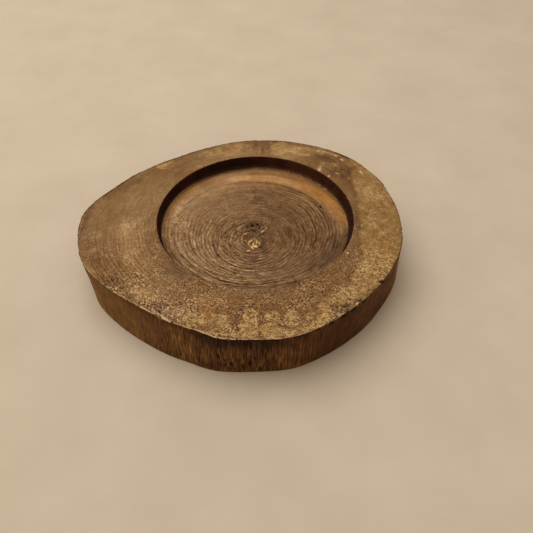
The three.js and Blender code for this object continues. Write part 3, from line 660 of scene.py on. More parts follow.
class WoodPoints:  # what the patterns ask about each point of the grid
    def __init__(self, points, zone, top):
        self.x, self.y, self.z = points.T
        self.heading = np.degrees(np.arctan2(self.y, self.x))
        self.reach = np.hypot(self.x, self.y)
        self.onFloor, self.onWall, self.onRim, self.onSide, self.under = [
            zone == number for number in range(len(zones))
        ]
        self.onOutside = self.onRim | self.onSide
        self.flat = np.column_stack([self.x, self.y, np.zeros_like(self.x)])
        self.ring, self.ringHeading = ringField(self.x, self.y)
        soft = growth["softRings"]
        softPlaces = np.column_stack([self.x * soft["across"], self.y * soft["across"], self.ring])
        drawn = drawnRings(self.ring, self.ringHeading, self.flat) * self.onFloor
        self.ringTone = cloud(softPlaces, soft["size"], 2, 4) * soft["strength"] + drawn
        headings = np.arange(sliceGrid["spokes"] + 1) * 360 / sliceGrid["spokes"]
        outline = np.interp(self.heading % 360, headings, np.append(top, top[0]))
        # distance from the slice's upper edge, over the rim and down the side, and far away elsewhere
        below = np.where(self.onSide, topHeight - self.z, 30.0)
        self.edge = np.where(self.onRim, outline - self.reach, below)

    def lumps(self, size, octaves, shift, rise=0):  # rise: how fast the pattern changes going up
        return cloud(np.column_stack([self.x, self.y, self.z * rise]), size, octaves, shift)

    def facing(self, look, power=2):  # 1 at the heading that the look names
        return hump(self.heading, look["heading"], look["spread"], power)

    def drop(self, depth, power=2):  # fades from the top down
        return hump(self.z, topHeight, depth, power)

    def spots(self, table, name):  # the placed patches of one kind
        return patches(self.x, self.y, table[name])


def stainedWood(wood):
    marks = {"ring": wood.ring, "ringTone": wood.ringTone}
    wavesX = wood.lumps(wear["waverSize"], 2, 30)
    wavesY = wood.lumps(wear["waverSize"], 2, 31)
    ripples = wear["ripple"] * wood.lumps(wear["rippleSize"], 2, 32)
    for name in ["tone", "ochre", "warm", "grey", "dark", "chips", "fleck"]:
        small = name in wear["smallMarks"]
        waver = wear["smallWaver"] if small else wear["waver"]
        nearTop = wood.onSide & (wood.z > topHeight - wear["overEdge"]) & small
        atX = wood.x + waver * wavesX + ripples
        atY = wood.y + waver * wavesY - ripples
        marks[name] = patches(atX, atY, rimPatches.get(name, [])) * (wood.onRim | nearTop)
        marks[name] += patches(atX, atY, floorPatches.get(name, [])) * wood.onFloor
    for middle, spread, strength, olive in sideTones:
        near = hump(turnFrom(middle, wood.heading), 0, spread) * wood.onSide
        marks["tone"] += strength * near
        marks["warm"] += olive * near
    bandTone, bandWarmth = ringBands(wood.ring, wood.ringHeading)
    # the ring bands' tone, less the painted shadow on the floor against the wall
    marks["tone"] += (bandTone - paintedWallShadow(wood.heading, wood.reach)) * wood.onFloor
    marks["warm"] += bandWarmth * wood.onFloor
    # painted shadow with a ragged edge on the floor against the wall at the back right
    look = wear["raggedWallShadow"]
    raggedWallShadow = smoothStep(-0.6, 0.5, wood.lumps(1.3, 3, 13)) * wood.facing(look, 4)
    marks["tone"] -= look["shade"] * raggedWallShadow * smoothStep(look["from"], look["to"], wood.reach) * wood.onFloor
    marks["tone"] += wood.onWall * humps(wood.heading, wear["wallLight"])
    look = wear["coarse"]
    front = look["front"] * smoothStep(look["frontFrom"], look["frontTo"], wood.y)
    marks["coarse"] = look["least"] + (front + wood.spots(rimPatches, "coarse")) * wood.onRim
    marks["coarse"] += (look["floor"] + wood.spots(floorPatches, "coarse")) * wood.onFloor
    marks["coarse"] += look["under"] * wood.under
    marks["lined"] = wear["lined"] + wood.spots(floorPatches, "lined") * wood.onFloor
    marks["lined"] += wood.spots(rimPatches, "lined") * wood.onRim
    look = wear["standing"]
    marks["lined"] += (look["least"] + look["most"] * wood.facing(look, 4)) * wood.onSide
    return marks


def wearEdge(wood, marks):  # bare and frayed at the front, with a dark line along the edge elsewhere and painted shade on the side under the edge
    worn = np.clip(humps(wood.heading, wear["wornFront"]), 0, 1)
    look = wear["wornLine"]
    breaks = look["least"] + (1 - look["least"]) * smoothStep(-0.3, 0.2, wood.lumps(1.6, 3, 11))
    wornLine = hump(wood.edge, 0, np.where(wood.onRim, look["onRim"], look["onSide"])) * worn * breaks
    marks["tone"] += look["tone"] * wornLine * wood.onRim
    marks["chips"] += look["bare"] * wornLine * wood.onOutside
    look = wear["darkLine"]
    darkLine = hump(wood.edge, 0, look["width"]) * (1 - worn) * smoothStep(-0.5, 0.2, wood.lumps(6, 2, 12))
    marks["tone"] -= humps(wood.heading % 360, look["left"], look["shade"]) * darkLine * wood.onRim
    look = wear["fray"]
    nearEdge = look["edge"] * hump(wood.edge, 0, look["edgeWidth"]) * worn
    marks["fray"] = (wood.spots(rimPatches, "fray") + nearEdge) * wood.onRim
    marks["fray"] += (look["floor"] + wood.spots(floorPatches, "coarse")) * look["floorShare"] * wood.onFloor
    marks["fray"] += wood.drop(look["sideWidth"]) * worn * wood.onSide
    # painted shade on the side just under the upper edge, darkest at the front
    for middle, spread, depth, power, shade in wear["paintedShadeUnderEdge"]:
        near = hump(wood.heading, middle, spread, 4) * wood.onSide
        marks["tone"] -= shade * wood.drop(depth, power) * near
    # light fibres frayed over the top edge at the right of the front
    look = wear["tufts"]
    tufts = smoothStep(-0.35, 0.35, wood.lumps(1.1, 2, 17)) * wood.facing(look, 4)
    marks["tone"] += look["light"] * wood.onSide * tufts * wood.drop(look["drop"])


def flatSink(wood, marks):  # how far the flat faces sink
    slow = wood.lumps(26, 2, 1)
    fuzz = wood.lumps(1.5, 3, 2)
    sag = 0.5 + 0.5 * slow
    rough = relief["floorRoughness"] * (0.5 + 0.5 * fuzz)
    sink = wood.onFloor * (relief["floorSag"] * sag + relief["ringDepth"] * (0.5 - 0.5 * wood.ringTone))
    sink += wood.onFloor * (relief["pitDepth"] * marks["dark"] + rough)
    sink += wood.onFloor * marks["fleck"] * relief["fleckDepth"] * (0.4 + fuzz)
    sink += wood.onRim * (relief["rimSag"] * sag + relief["rimRoughness"] * (0.6 + fuzz))
    rimSpots = relief["rimPits"] * marks["dark"] - relief["ochreRise"] * marks["ochre"]
    sink += wood.onRim * (rimSpots + relief["greySink"] * marks["grey"])
    saw = relief["sawLines"]
    sawPlace = wood.x * saw["slant"] + wood.y + saw["bend"] * wood.x * wood.x
    sawLines = np.sin(sawPlace * saw["pace"] + saw["waver"] * slow)
    sink += wood.under * relief["sawDepth"] * (1 + sawLines + 0.8 * fuzz)
    return sink * np.where(wood.onFloor, smoothStep(*relief["floorEdge"], wood.reach) * 0.8 + 0.2, 1)


def sideSink(wood, marks):  # flutes and cracks that run up the side with the grain
    flutes = 1 - np.abs(wood.lumps(2.6, 3, 3, 0.05))
    sink = relief["sideSag"] * wood.lumps(20, 2, 5, 1) + relief["fluteDepth"] * (flutes ** 2 - 0.5)
    sink += relief["sideRoughness"] * wood.lumps(1.3, 2, 6, 0.2)
    cracks = smoothStep(0.5, 0.75, wood.lumps(1.7, 2, 7, 0.03)) * humps(wood.heading, wear["cracked"])
    cracks *= smoothStep(*wear["crackEnds"], wood.z)
    sink += relief["crackDepth"] * cracks
    # painted shade inside the cracks
    marks["dark"] += wear["crackShade"] * cracks * wood.onSide
    for middle, height, wide, high, depth in relief["slits"]:
        slit = np.exp(-((wood.heading - middle) / wide) ** 2 - ((wood.z - height) / high) ** 2) * wood.onSide
        sink += depth * slit
        # painted shade inside the slit
        marks["dark"] += wear["slitShade"] * slit
    return wood.onSide * sink * smoothStep(*relief["sideStart"], wood.z)


def wallRise(wood):  # the wall of the recess is turned, so only slightly rough, with nicks in its mouth
    nicks = smoothStep(0.25, 0.7, wood.lumps(1.9, 2, 9))
    nicks *= smoothStep(topHeight - relief["nickReach"], topHeight, wood.z)
    rough = relief["wallRoughness"] * wood.lumps(1.6, 3, 10, 0.6)
    rough *= smoothStep(seatHeight, seatHeight + 1, wood.z)
    return wood.onWall * (rough + relief["nickDepth"] * nicks)


def weatherSlice(points, zone, top):
    wood = WoodPoints(points, zone, top)
    marks = stainedWood(wood)
    wearEdge(wood, marks)
    sink = flatSink(wood, marks) + sideSink(wood, marks)

    # chips along the upper edge, most of them along the front
    front = humps(wood.heading, wear["chippedFront"], wear["chippedElsewhere"])
    chipField = cloud(wood.flat + np.array([0, 0, 4.0]), 2.3, 3, 8)
    chipped = smoothStep(0.05, 0.5, chipField) * front * smoothStep(*wear["chipReach"], wood.edge)
    marks["chips"] += chipped * wood.onOutside
    downwards = wood.onRim * relief["chipDepth"] * chipped
    inwards = wood.onSide * relief["chipDepth"] * relief["sideChipShare"] * chipped

    moved = points.copy()
    moved[:, 2] -= np.where(wood.onFloor | wood.onRim, sink, 0) + downwards
    moved[:, 2] += np.where(wood.under, np.maximum(sink, 0), 0)
    pull = np.where(wood.onSide, sink, 0) + inwards - wallRise(wood)
    look = relief["mouthShift"]
    atMouth = wood.facing(look) * hump(wood.reach, look["reach"], look["width"])
    atMouth *= smoothStep(seatHeight + 1, topHeight, wood.z)
    pull += look["most"] * atMouth * (wood.onWall | wood.onRim)
    lean = 1 - pull / np.maximum(wood.reach, 1)
    look = relief["floorShift"]
    footPull = smoothStep(look["from"], look["to"], wood.reach) * smoothStep(topHeight, seatHeight, wood.z)
    footPull *= smoothStep(look["fromX"], look["toX"], wood.x)
    moved[:, 0] -= look["most"] * (wood.onFloor | wood.onWall) * footPull
    moved[:, 0] *= lean
    moved[:, 1] *= lean
    lowest, highest = np.array([list(corner) for corner in cadBox]) / metres
    return np.clip(moved, lowest, highest), marks


# Shader helpers

def put(tree, kind, inputs=None, **settings):
    node = tree.nodes.new(kind)
    for name, value in settings.items():
        setattr(node, name, value)
    for name, value in (inputs or {}).items():
        if isinstance(value, bpy.types.NodeSocket):
            tree.links.new(value, node.inputs[name])
        else:
            node.inputs[name].default_value = value
    return node


def colour(red, green, blue):  # as seen on screen, 0 to 255
    shares = [value / 255 for value in (red, green, blue)]
    return [s / 12.92 if s < 0.04045 else ((s + 0.055) / 1.055) ** 2.4 for s in shares] + [1]


def maths(tree, operation, *values):
    return put(tree, "ShaderNodeMath", dict(enumerate(values)), operation=operation).outputs[0]


def times(tree, first, second):
    return maths(tree, "MULTIPLY", first, second)


def apart(tree, value, middle):  # how far the value is from the middle
    return maths(tree, "ABSOLUTE", maths(tree, "SUBTRACT", value, middle))


def total(tree, start, *terms):  # start plus each value times its share
    for value, share in terms:
        start = maths(tree, "MULTIPLY_ADD", value, share, start)
    return start


def remap(tree, value, low, high, toLow=0.0, toHigh=1.0):
    sockets = {"Value": value, "From Min": low, "From Max": high, "To Min": toLow, "To Max": toHigh}
    return put(tree, "ShaderNodeMapRange", sockets, interpolation_type="SMOOTHSTEP").outputs[0]


def blended(tree, share, first, second, how="MIX"):
    sockets = {0: share, 6: first, 7: second}
    return put(tree, "ShaderNodeMix", sockets, data_type="RGBA", blend_type=how).outputs[2]


def tinted(tree, share, wood, shade):  # the wood in the hue of the shade
    return blended(tree, share, wood, blended(tree, 1.0, wood, colour(*shade), "COLOR"))


def ramped(tree, value, stops):
    node = put(tree, "ShaderNodeValToRGB", {"Fac": value})
    band = node.color_ramp
    while len(band.elements) < len(stops):
        band.elements.new(0.5)
    for element, (place, shade) in zip(band.elements, stops):
        element.position = place
        element.color = colour(*shade)
    return node.outputs["Color"]


def mark(tree, name):
    return put(tree, "ShaderNodeAttribute", attribute_name=name).outputs["Fac"]


def scaled(tree, vector, factors):
    return put(tree, "ShaderNodeVectorMath", {0: vector, 1: factors}, operation="MULTIPLY").outputs[0]


def newGroup(name, inputs, outputs):
    tree = bpy.data.node_groups.new(name, "ShaderNodeTree")
    for socket, kind in inputs.items():
        tree.interface.new_socket(socket, in_out="INPUT", socket_type=kind)
    for socket in outputs:
        tree.interface.new_socket(socket, in_out="OUTPUT", socket_type="NodeSocketFloat")
    start = tree.nodes.new("NodeGroupInput")
    return tree, start.outputs


def closeGroup(tree, values):
    end = tree.nodes.new("NodeGroupOutput")
    for socket, value in values.items():
        tree.links.new(value, end.inputs[socket])
    return tree


def noiseOf(tree, vector, scale, detail=2.0, roughness=0.5, w=None):
    sockets = {"Vector": vector, "Scale": scale, "Detail": detail, "Roughness": roughness}
    if w is not None:
        sockets["W"] = w
    kind = "3D" if w is None else "4D"
    return put(tree, "ShaderNodeTexNoise", sockets, noise_dimensions=kind).outputs["Fac"]


# Effects that several of the finishes share, in millimetres of wood

ringThreads = {  # change along a ring and from ring to ring
    "Bands": (0.05, 0.5),
    "Lines": (0.1, 1.7),
    "Dashes": (0.3, 2.8),
    "Grooves": (0.16, 3.7),
    "Ridges": (0.3, 5.3),
}
grooves = {
    "perMillimetre": 0.8,
    "waver": 2.6,
    "waverScale": 0.07,
    "groove": (0.34, 0.46),  # off the middle between two grooves
    "ridge": (0.24, 0.08),
}
fuzzFields = {  # lumps per millimetre, roughness, and the values that become 0 and 1
    "Mottle": (0.2, 0.55, 0.36, 0.64),
    "Blotches": (0.62, 0.6, 0.34, 0.66),
    "Specks": (1.75, 0.6, 0.32, 0.68),
}
evenFields = [*fuzzFields, "Bands", "Lines", "Dashes", "Streaks", "Fibres"]  # a half on average


def growthRingsGroup():
    inputs = {"Place": "NodeSocketVector", "Ring": "NodeSocketFloat"}
    tree, given = newGroup("growthRings", inputs, ringThreads)

    def threads(name, ring, roughness):
        along, onward = ringThreads[name]
        place = scaled(tree, given["Place"], [along] * 3)
        return noiseOf(tree, place, 1.0, 2.0, roughness, times(tree, ring, onward))

    values = {}
    for name in ["Bands", "Lines", "Dashes"]:
        values[name] = remap(tree, threads(name, given["Ring"], 0.55), 0.34, 0.66)
    # grooves and the ridges between them: one each 1.25 mm or so, broken off here and there
    waver = noiseOf(tree, given["Place"], grooves["waverScale"])
    phase = total(tree, 0.0, (given["Ring"], grooves["perMillimetre"]), (waver, grooves["waver"]))
    offMiddle = apart(tree, maths(tree, "FRACT", phase), 0.5)
    there = remap(tree, threads("Grooves", maths(tree, "ROUND", phase), 0.6), 0.4, 0.58)
    values["Grooves"] = times(tree, remap(tree, offMiddle, *grooves["groove"]), there)
    there = remap(tree, threads("Ridges", maths(tree, "FLOOR", phase), 0.6), 0.46, 0.62)
    values["Ridges"] = times(tree, remap(tree, offMiddle, *grooves["ridge"]), there)
    return closeGroup(tree, values)


def sawnFuzzGroup():
    names = [*fuzzFields, "Pores", "Grains", "Redness", "Curls", "Gaps", "Spots"]
    tree, given = newGroup("sawnFuzz", {"Place": "NodeSocketVector"}, names)
    place = given["Place"]
    values = {}
    for name, (scale, roughness, low, high) in fuzzFields.items():
        values[name] = remap(tree, noiseOf(tree, place, scale, 3.0, roughness), low, high)
    cells = put(tree, "ShaderNodeTexVoronoi", {"Vector": place, "Scale": 1.35}).outputs
    kind = maths(tree, "ADD", cells["Color"], 0.0)
    values["Pores"] = times(tree, remap(tree, cells["Distance"], 0.36, 0.16), remap(tree, kind, 0.45, 0.4))
    values["Grains"] = times(tree, remap(tree, cells["Distance"], 0.34, 0.14), remap(tree, kind, 0.6, 0.66))
    cells = put(tree, "ShaderNodeTexVoronoi", {"Vector": place, "Scale": 0.42}).outputs
    spotSize = total(tree, -0.34, (cells["Distance"], 1.0), (noiseOf(tree, place, 1.4, 2.0, 0.6), 0.3))
    values["Spots"] = times(tree, remap(tree, spotSize, 0.02, -0.06), remap(tree, cells["Color"], 0.5, 0.52))
    curls = noiseOf(tree, place, 1.05, 1.0)
    values["Curls"] = remap(tree, apart(tree, curls, 0.54), 0.04, 0.008)
    values["Gaps"] = remap(tree, apart(tree, curls, 0.46), 0.036, 0.006)
    mirrored = scaled(tree, place, (-1, 1, 1))
    values["Redness"] = remap(tree, noiseOf(tree, mirrored, 0.5, 3.0, 0.65), 0.45, 0.65)
    return closeGroup(tree, values)


def raggedPatchGroup():
    inputs = dict.fromkeys(["Mask", "Raggedness", "Softness"], "NodeSocketFloat")
    inputs["Place"] = "NodeSocketVector"
    tree, given = newGroup("raggedPatch", inputs, ["Mask"])
    lumps = noiseOf(tree, given["Place"], 0.75, 4.0, 0.75)
    rough = times(tree, maths(tree, "SUBTRACT", lumps, 0.5), given["Raggedness"])
    value = maths(tree, "ADD", given["Mask"], rough)
    low = maths(tree, "SUBTRACT", 0.5, given["Softness"])
    high = maths(tree, "ADD", 0.5, given["Softness"])
    return closeGroup(tree, {"Mask": remap(tree, value, low, high)})


def fibresGroup():
    tree, given = newGroup("standingFibres", {"Place": "NodeSocketVector"}, ["Streaks", "Fibres", "Splits"])

    def threads(rise, scale, detail, roughness):
        return noiseOf(tree, scaled(tree, given["Place"], (1, 1, rise)), scale, detail, roughness)

    streaks = remap(tree, threads(0.12, 0.16, 3.0, 0.5), 0.34, 0.66)
    fibres = remap(tree, threads(0.06, 3.1, 3.0, 0.6), 0.35, 0.65)
    splits = remap(tree, apart(tree, threads(0.05, 0.9, 2.0, 0.6), 0.5), 0.022, 0.004)
    return closeGroup(tree, {"Streaks": streaks, "Fibres": fibres, "Splits": splits})


groups = {
    "rings": growthRingsGroup(),
    "fuzz": sawnFuzzGroup(),
    "patch": raggedPatchGroup(),
    "fibres": fibresGroup(),
}


def use(tree, group, inputs):
    return put(tree, "ShaderNodeGroup", inputs, node_tree=groups[group]).outputs


def newFinish(name):
    finish = bpy.data.materials.new(name)
    finish.use_nodes = True
    tree = finish.node_tree
    tree.nodes.clear()
    shader = tree.nodes.new("ShaderNodeBsdfPrincipled")
    output = tree.nodes.new("ShaderNodeOutputMaterial")
    tree.links.new(shader.outputs["BSDF"], output.inputs["Surface"])
    objectPlace = tree.nodes.new("ShaderNodeTexCoord").outputs["Object"]
    place = scaled(tree, objectPlace, [1 / metres] * 3)
    return finish, tree, shader, place


def patch(tree, place, name, look):
    raggedness, softness, most = look
    inputs = {"Mask": mark(tree, name), "Place": place, "Raggedness": raggedness, "Softness": softness}
    return times(tree, use(tree, "patch", inputs)["Mask"], most)


def mixture(tree, start, effects, shares):  # start is what comes out where the even fields are at a half
    start -= sum(share for name, share in shares.items() if name in evenFields) / 2
    return total(tree, start, *[(effects[name], share) for name, share in shares.items()])


def surface(tree, shader, wood, rough, height, look):
    tree.links.new(wood, shader.inputs["Base Color"])
    tree.links.new(remap(tree, rough, 0, 1, *look["roughness"]), shader.inputs["Roughness"])
    sockets = {"Height": height, "Distance": look["relief"] * metres, "Strength": look["bump"]}
    tree.links.new(put(tree, "ShaderNodeBump", sockets).outputs["Normal"], shader.inputs["Normal"])
    shader.inputs["Specular IOR Level"].default_value = look["gloss"]


# Finishes of the wood

endGrain = {
    "rim": {
        "base": 0.47, "ringTone": 0.05, "redness": 0.16,
        "calm": {"Bands": 0.05, "Mottle": 0.09, "Spots": -0.12},
        "rough": {"Blotches": 0.13, "Specks": 0.46, "Pores": -0.16, "Grains": 0.22},
        "ringed": {"Lines": 0.04, "Dashes": 0.1, "Grooves": -0.12, "Ridges": 0.16},
        "bump": 0.9, "relief": 0.12, "roughness": (0.7, 0.92), "gloss": 0.15,
    },
    "recessFloor": {
        "base": 0.42, "ringTone": 0.28, "redness": 0.1,
        "calm": {"Bands": 0.04, "Mottle": 0.08, "Spots": -0.04},
        "rough": {"Blotches": 0.12, "Specks": 0.16, "Pores": -0.08, "Grains": 0.06},
        "ringed": {"Lines": 0.12, "Dashes": 0.24, "Grooves": -0.17, "Ridges": 0.18},
        "bump": 0.8, "relief": 0.12, "roughness": (0.72, 0.9), "gloss": 0.15,
    },
    "underside": {
        "base": 0.42, "ringTone": 0.1, "redness": 0.12,
        "calm": {"Bands": 0.08, "Mottle": 0.18, "Spots": -0.1},
        "rough": {"Blotches": 0.12, "Specks": 0.22, "Pores": -0.12, "Grains": 0.06},
        "ringed": {"Lines": 0.1, "Dashes": 0.08, "Grooves": -0.16, "Ridges": 0.08},
        "bump": 0.8, "relief": 0.12, "roughness": (0.76, 0.93), "gloss": 0.15,
    },
    "ochre": {
        "base": 0.57, "tone": 0.8, "warmth": 0.6,
        "calm": {"Mottle": 0.18, "Blotches": 0.12, "Spots": -0.16},
        "rough": {"Specks": 0.56, "Blotches": 0.2, "Pores": -0.24, "Grains": 0.28},
    },
    "frayed": {"Curls": 0.32, "Gaps": -0.2},
    "height": {"Specks": 0.6, "Grooves": -0.5, "Dashes": 0.3, "Pores": -0.8},
    "warmth": 0.75,
    "unevenness": (0.8, 0.6),  # the mottle times the first plus the second: how coarse the fuzz is
    "patches": {  # raggedness, softness, most
        "grey": (1.0, 0.45, 0.5),
        "ochre": (0.95, 0.16, 0.88),
        "fleck": (1.2, 0.12, 1.0),
        "chips": (1.1, 0.28, 0.8),
        "dark": (0.75, 0.24, 0.8),
    },
    "shades": {
        "rim": [
            (0.0, (42, 19, 4)), (0.2, (84, 51, 21)), (0.42, (118, 82, 44)), (0.6, (141, 106, 65)),
            (0.8, (169, 132, 90)), (1.0, (208, 171, 124)),
        ],
        "recessFloor": [
            (0.0, (38, 18, 6)), (0.2, (80, 49, 24)), (0.42, (115, 82, 50)), (0.6, (142, 107, 69)),
            (0.8, (169, 132, 93)), (1.0, (207, 169, 124)),
        ],
    },
    "ochreShades": [(0.1, (104, 72, 35)), (0.5, (143, 106, 57)), (0.95, (196, 157, 102))],
    "fleckShades": [(0.36, (92, 58, 28)), (0.5, (152, 110, 58)), (0.6, (236, 194, 126))],
    "reddened": (156, 92, 48),
    "warmShade": (178, 120, 55),
    "greyShade": (124, 93, 64),
    "darkShade": (26, 13, 6),
    "bareShade": (208, 172, 124),
}


def endGrainFinish(name):
    look = endGrain[name]
    finish, tree, shader, place = newFinish(name + "EndGrain")
    rings = use(tree, "rings", {"Place": place, "Ring": mark(tree, "ring")})
    fuzz = use(tree, "fuzz", {"Place": place})
    effects = {socket.name: socket for socket in [*rings, *fuzz]}
    cover = {spot: patch(tree, place, spot, edges) for spot, edges in endGrain["patches"].items()}
    uneven = maths(tree, "MULTIPLY_ADD", fuzz["Mottle"], *endGrain["unevenness"])
    coarse = times(tree, mark(tree, "coarse"), uneven)
    frayed = times(tree, mixture(tree, 0, effects, endGrain["frayed"]), mark(tree, "fray"))

    calm = mixture(tree, look["base"], effects, look["calm"])
    tone = total(tree, calm, (mark(tree, "tone"), 1.0), (mark(tree, "ringTone"), look["ringTone"]),
                 (mixture(tree, 0, effects, look["rough"]), coarse),
                 (mixture(tree, 0, effects, look["ringed"]), mark(tree, "lined")), (frayed, 1.0))
    wood = ramped(tree, tone, endGrain["shades"].get(name, endGrain["shades"]["rim"]))
    wood = tinted(tree, times(tree, fuzz["Redness"], look["redness"]), wood, endGrain["reddened"])
    wood = tinted(tree, cover["grey"], wood, endGrain["greyShade"])
    wood = tinted(tree, times(tree, mark(tree, "warm"), endGrain["warmth"]), wood, endGrain["warmShade"])

    stain = endGrain["ochre"]
    calm = mixture(tree, stain["base"], effects, stain["calm"])
    tone = total(tree, calm, (mark(tree, "tone"), stain["tone"]),
                 (mixture(tree, 0, effects, stain["rough"]), coarse), (frayed, 1.0))
    ochre = ramped(tree, tone, endGrain["ochreShades"])
    ochre = tinted(tree, times(tree, mark(tree, "warm"), stain["warmth"]), ochre, endGrain["warmShade"])
    fleck = ramped(tree, noiseOf(tree, place, 1.15, 1.0, 0.6), endGrain["fleckShades"])

    wood = blended(tree, cover["ochre"], wood, ochre)
    wood = blended(tree, cover["fleck"], wood, fleck)
    wood = blended(tree, cover["chips"], wood, colour(*endGrain["bareShade"]))
    wood = blended(tree, cover["dark"], wood, colour(*endGrain["darkShade"]))
    surface(tree, shader, wood, fuzz["Specks"], mixture(tree, 0, effects, endGrain["height"]), look)
    return finish


longGrain = {
    "side": {
        "base": 0.48,
        "calm": {"Streaks": 0.08, "Mottle": 0.1},
        "fine": {"Fibres": 0.36, "Splits": -0.14},
        "bump": 1.0, "relief": 0.2, "roughness": (0.62, 0.85), "gloss": 0.12,
    },
    "recessWall": {
        "base": 0.3,
        "calm": {"Streaks": 0.12, "Mottle": 0.06},
        "fine": {"Fibres": 0.4, "Splits": -0.3},
        "bump": 0.6, "relief": 0.2, "roughness": (0.62, 0.85), "gloss": 0.12,
    },
    "height": {"Fibres": 0.7, "Streaks": 0.5, "Splits": -1.0},
    "patches": {"chips": (1.2, 0.25, 0.45), "dark": (0.8, 0.3, 1.0)},
    "shades": {
        "side": [
            (0.0, (20, 9, 3)), (0.25, (58, 31, 12)), (0.5, (96, 58, 25)), (0.75, (134, 92, 46)),
            (1.0, (176, 132, 76)),
        ],
        "recessWall": [(0.0, (18, 6, 2)), (0.3, (46, 20, 7)), (0.6, (82, 44, 18)), (1.0, (130, 82, 40))],
    },
    "olive": (128, 96, 46),
    "bareShade": (180, 142, 94),
    "darkShade": (14, 7, 4),
}


def longGrainFinish(name):
    look = longGrain[name]
    finish, tree, shader, place = newFinish(name + "LongGrain")
    grain = use(tree, "fibres", {"Place": place})
    fuzz = use(tree, "fuzz", {"Place": place})
    effects = {socket.name: socket for socket in [*grain, *fuzz]}
    cover = {spot: patch(tree, place, spot, edges) for spot, edges in longGrain["patches"].items()}
    tone = total(tree, mixture(tree, look["base"], effects, look["calm"]), (mark(tree, "tone"), 1.0),
                 (mixture(tree, 0, effects, look["fine"]), mark(tree, "lined")))
    wood = ramped(tree, tone, longGrain["shades"][name])
    wood = tinted(tree, mark(tree, "warm"), wood, longGrain["olive"])
    wood = blended(tree, cover["chips"], wood, colour(*longGrain["bareShade"]))
    wood = blended(tree, cover["dark"], wood, colour(*longGrain["darkShade"]))
    surface(tree, shader, wood, grain["Fibres"], mixture(tree, 0, effects, longGrain["height"]), look)
    return finish


def placed(name, data):  # a new object in the scene
    thing = bpy.data.objects.new(name, data)
    bpy.context.scene.collection.objects.link(thing)
    return thing


# The slice itself

sliceTop, sliceFoot = outlineOfSlice()
gridPoints, gridZones, gridFaces, faceZones = gridOfSlice(ringsOfSlice(sliceTop, sliceFoot))
print("grid made:", len(gridPoints), "points,", len(gridFaces), "faces")
weathered, woodMarks = weatherSlice(gridPoints, gridZones, sliceTop)
print("wood weathered")

sliceMesh = bpy.data.meshes.new("saucer_slice")
sliceMesh.from_pydata((weathered * metres).tolist(), [], gridFaces)
for name, values in woodMarks.items():
    layer = sliceMesh.attributes.new(name, "FLOAT", "POINT")
    layer.data.foreach_set("value", np.asarray(values, dtype=np.float32))
for zoneName in zones:
    makeFinish = longGrainFinish if zoneName in longGrain else endGrainFinish
    sliceMesh.materials.append(makeFinish(zoneName))
sliceMesh.polygons.foreach_set("material_index", faceZones)
sliceMesh.polygons.foreach_set("use_smooth", [True] * len(gridFaces))
sliceMesh.update()
slicePiece = placed("saucer_slice", sliceMesh)
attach(slicePiece, "root")
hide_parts("saucer")
print("slice dressed")


# The table it lies on

table = {
    "halfSize": 1.6,
    "shades": [(0.3, (199, 178, 151)), (0.7, (207, 187, 160))],
    "cloudsPerMillimetre": 0.03,
    "roughness": 0.85,
    "gloss": 0.2,
}


def makeTable():
    half = table["halfSize"]
    mesh = bpy.data.meshes.new("plain_floor")
    corners = [(-half, -half, 0), (half, -half, 0), (half, half, 0), (-half, half, 0)]
    mesh.from_pydata(corners, [], [(0, 1, 2, 3)])
    finish, tree, shader, place = newFinish("plainFloor")
    tone = noiseOf(tree, place, table["cloudsPerMillimetre"], 5.0, 0.6)
    tree.links.new(ramped(tree, tone, table["shades"]), shader.inputs["Base Color"])
    shader.inputs["Roughness"].default_value = table["roughness"]
    shader.inputs["Specular IOR Level"].default_value = table["gloss"]
    mesh.materials.append(finish)
    floor = placed("plain_floor", mesh)


makeTable()


# Soft studio light from behind and to the left, and an even sky

light = {
    "from": (-0.31, 0.205, 0.93),
    "distance": 0.8,
    "size": 0.84,
    "power": 4.88,
    "lampShade": (0.955, 1.0, 1.05),
    "skyShade": (1.09, 1.0, 0.91, 1),
    "sky": 0.42,
    "backdrop": (206, 186, 159),
}


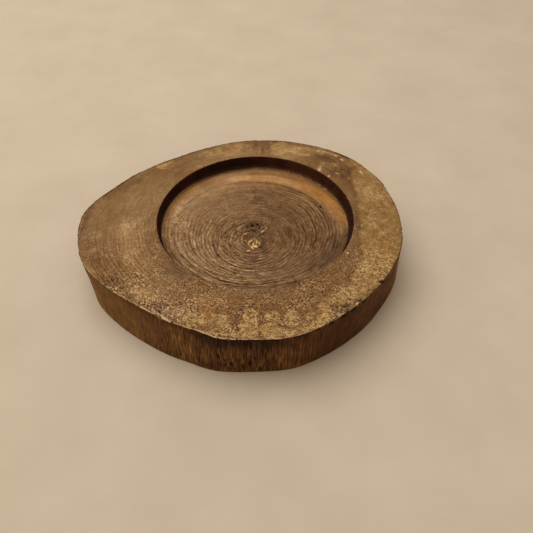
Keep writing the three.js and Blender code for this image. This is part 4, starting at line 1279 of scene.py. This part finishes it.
def makeLight():
    lamp = bpy.data.lights.new("studio_lamp", "AREA")
    lamp.shape = "DISK"
    lamp.size = light["size"]
    lamp.energy = light["power"]
    lamp.color = light["lampShade"]
    lampObject = placed("studio_lamp", lamp)
    way = Vector(light["from"]).normalized()
    lampObject.location = way * light["distance"]
    lampObject.rotation_euler = way.to_track_quat("Z", "Y").to_euler()
    world = bpy.data.worlds.new("studio_sky")
    world.use_nodes = True
    tree = world.node_tree
    tree.nodes.clear()
    sky = put(tree, "ShaderNodeBackground", {"Color": light["skyShade"], "Strength": light["sky"]})
    backdrop = put(tree, "ShaderNodeBackground", {"Color": colour(*light["backdrop"]), "Strength": 1.0})
    path = tree.nodes.new("ShaderNodeLightPath").outputs
    seen = maths(tree, "MAXIMUM", maths(tree, "MAXIMUM", path["Is Camera Ray"], path["Is Glossy Ray"]),
                 path["Is Transmission Ray"])
    either = put(tree, "ShaderNodeMixShader", {0: seen, 1: sky.outputs[0], 2: backdrop.outputs[0]})
    output = tree.nodes.new("ShaderNodeOutputWorld")
    tree.links.new(either.outputs[0], output.inputs["Surface"])
    bpy.context.scene.world = world


makeLight()
print("table and light placed")


# The camera: looking along +Y and down at the saucer from arm's length

view = {
    "focalPixels": 545,
    "framePixels": 533,
    "tiltDown": 47.14,
    "roll": -0.21,
    "place": (4.04, -146.69, 148.61),
    "sensorWidth": 36,
    "nearest": 0.005,
}


def makeCamera():
    camera = bpy.data.cameras.new("camera")
    camera.sensor_width = view["sensorWidth"]
    camera.lens = view["focalPixels"] / view["framePixels"] * camera.sensor_width
    camera.clip_start = view["nearest"]
    tilt = math.radians(view["tiltDown"])
    roll = math.radians(view["roll"])
    forward = Vector((0, math.cos(tilt), -math.sin(tilt)))
    level = Vector((1, 0, 0))
    down = forward.cross(level)
    right = level * math.cos(roll) + down * math.sin(roll)
    up = level * math.sin(roll) - down * math.cos(roll)
    cameraObject = placed("camera", camera)
    turned = Matrix((right, up, -forward)).transposed().to_4x4()
    cameraObject.matrix_world = Matrix.Translation(Vector(view["place"]) * metres) @ turned
    bpy.context.scene.camera = cameraObject


makeCamera()
bpy.context.scene.view_settings.view_transform = "Standard"
print("camera placed")
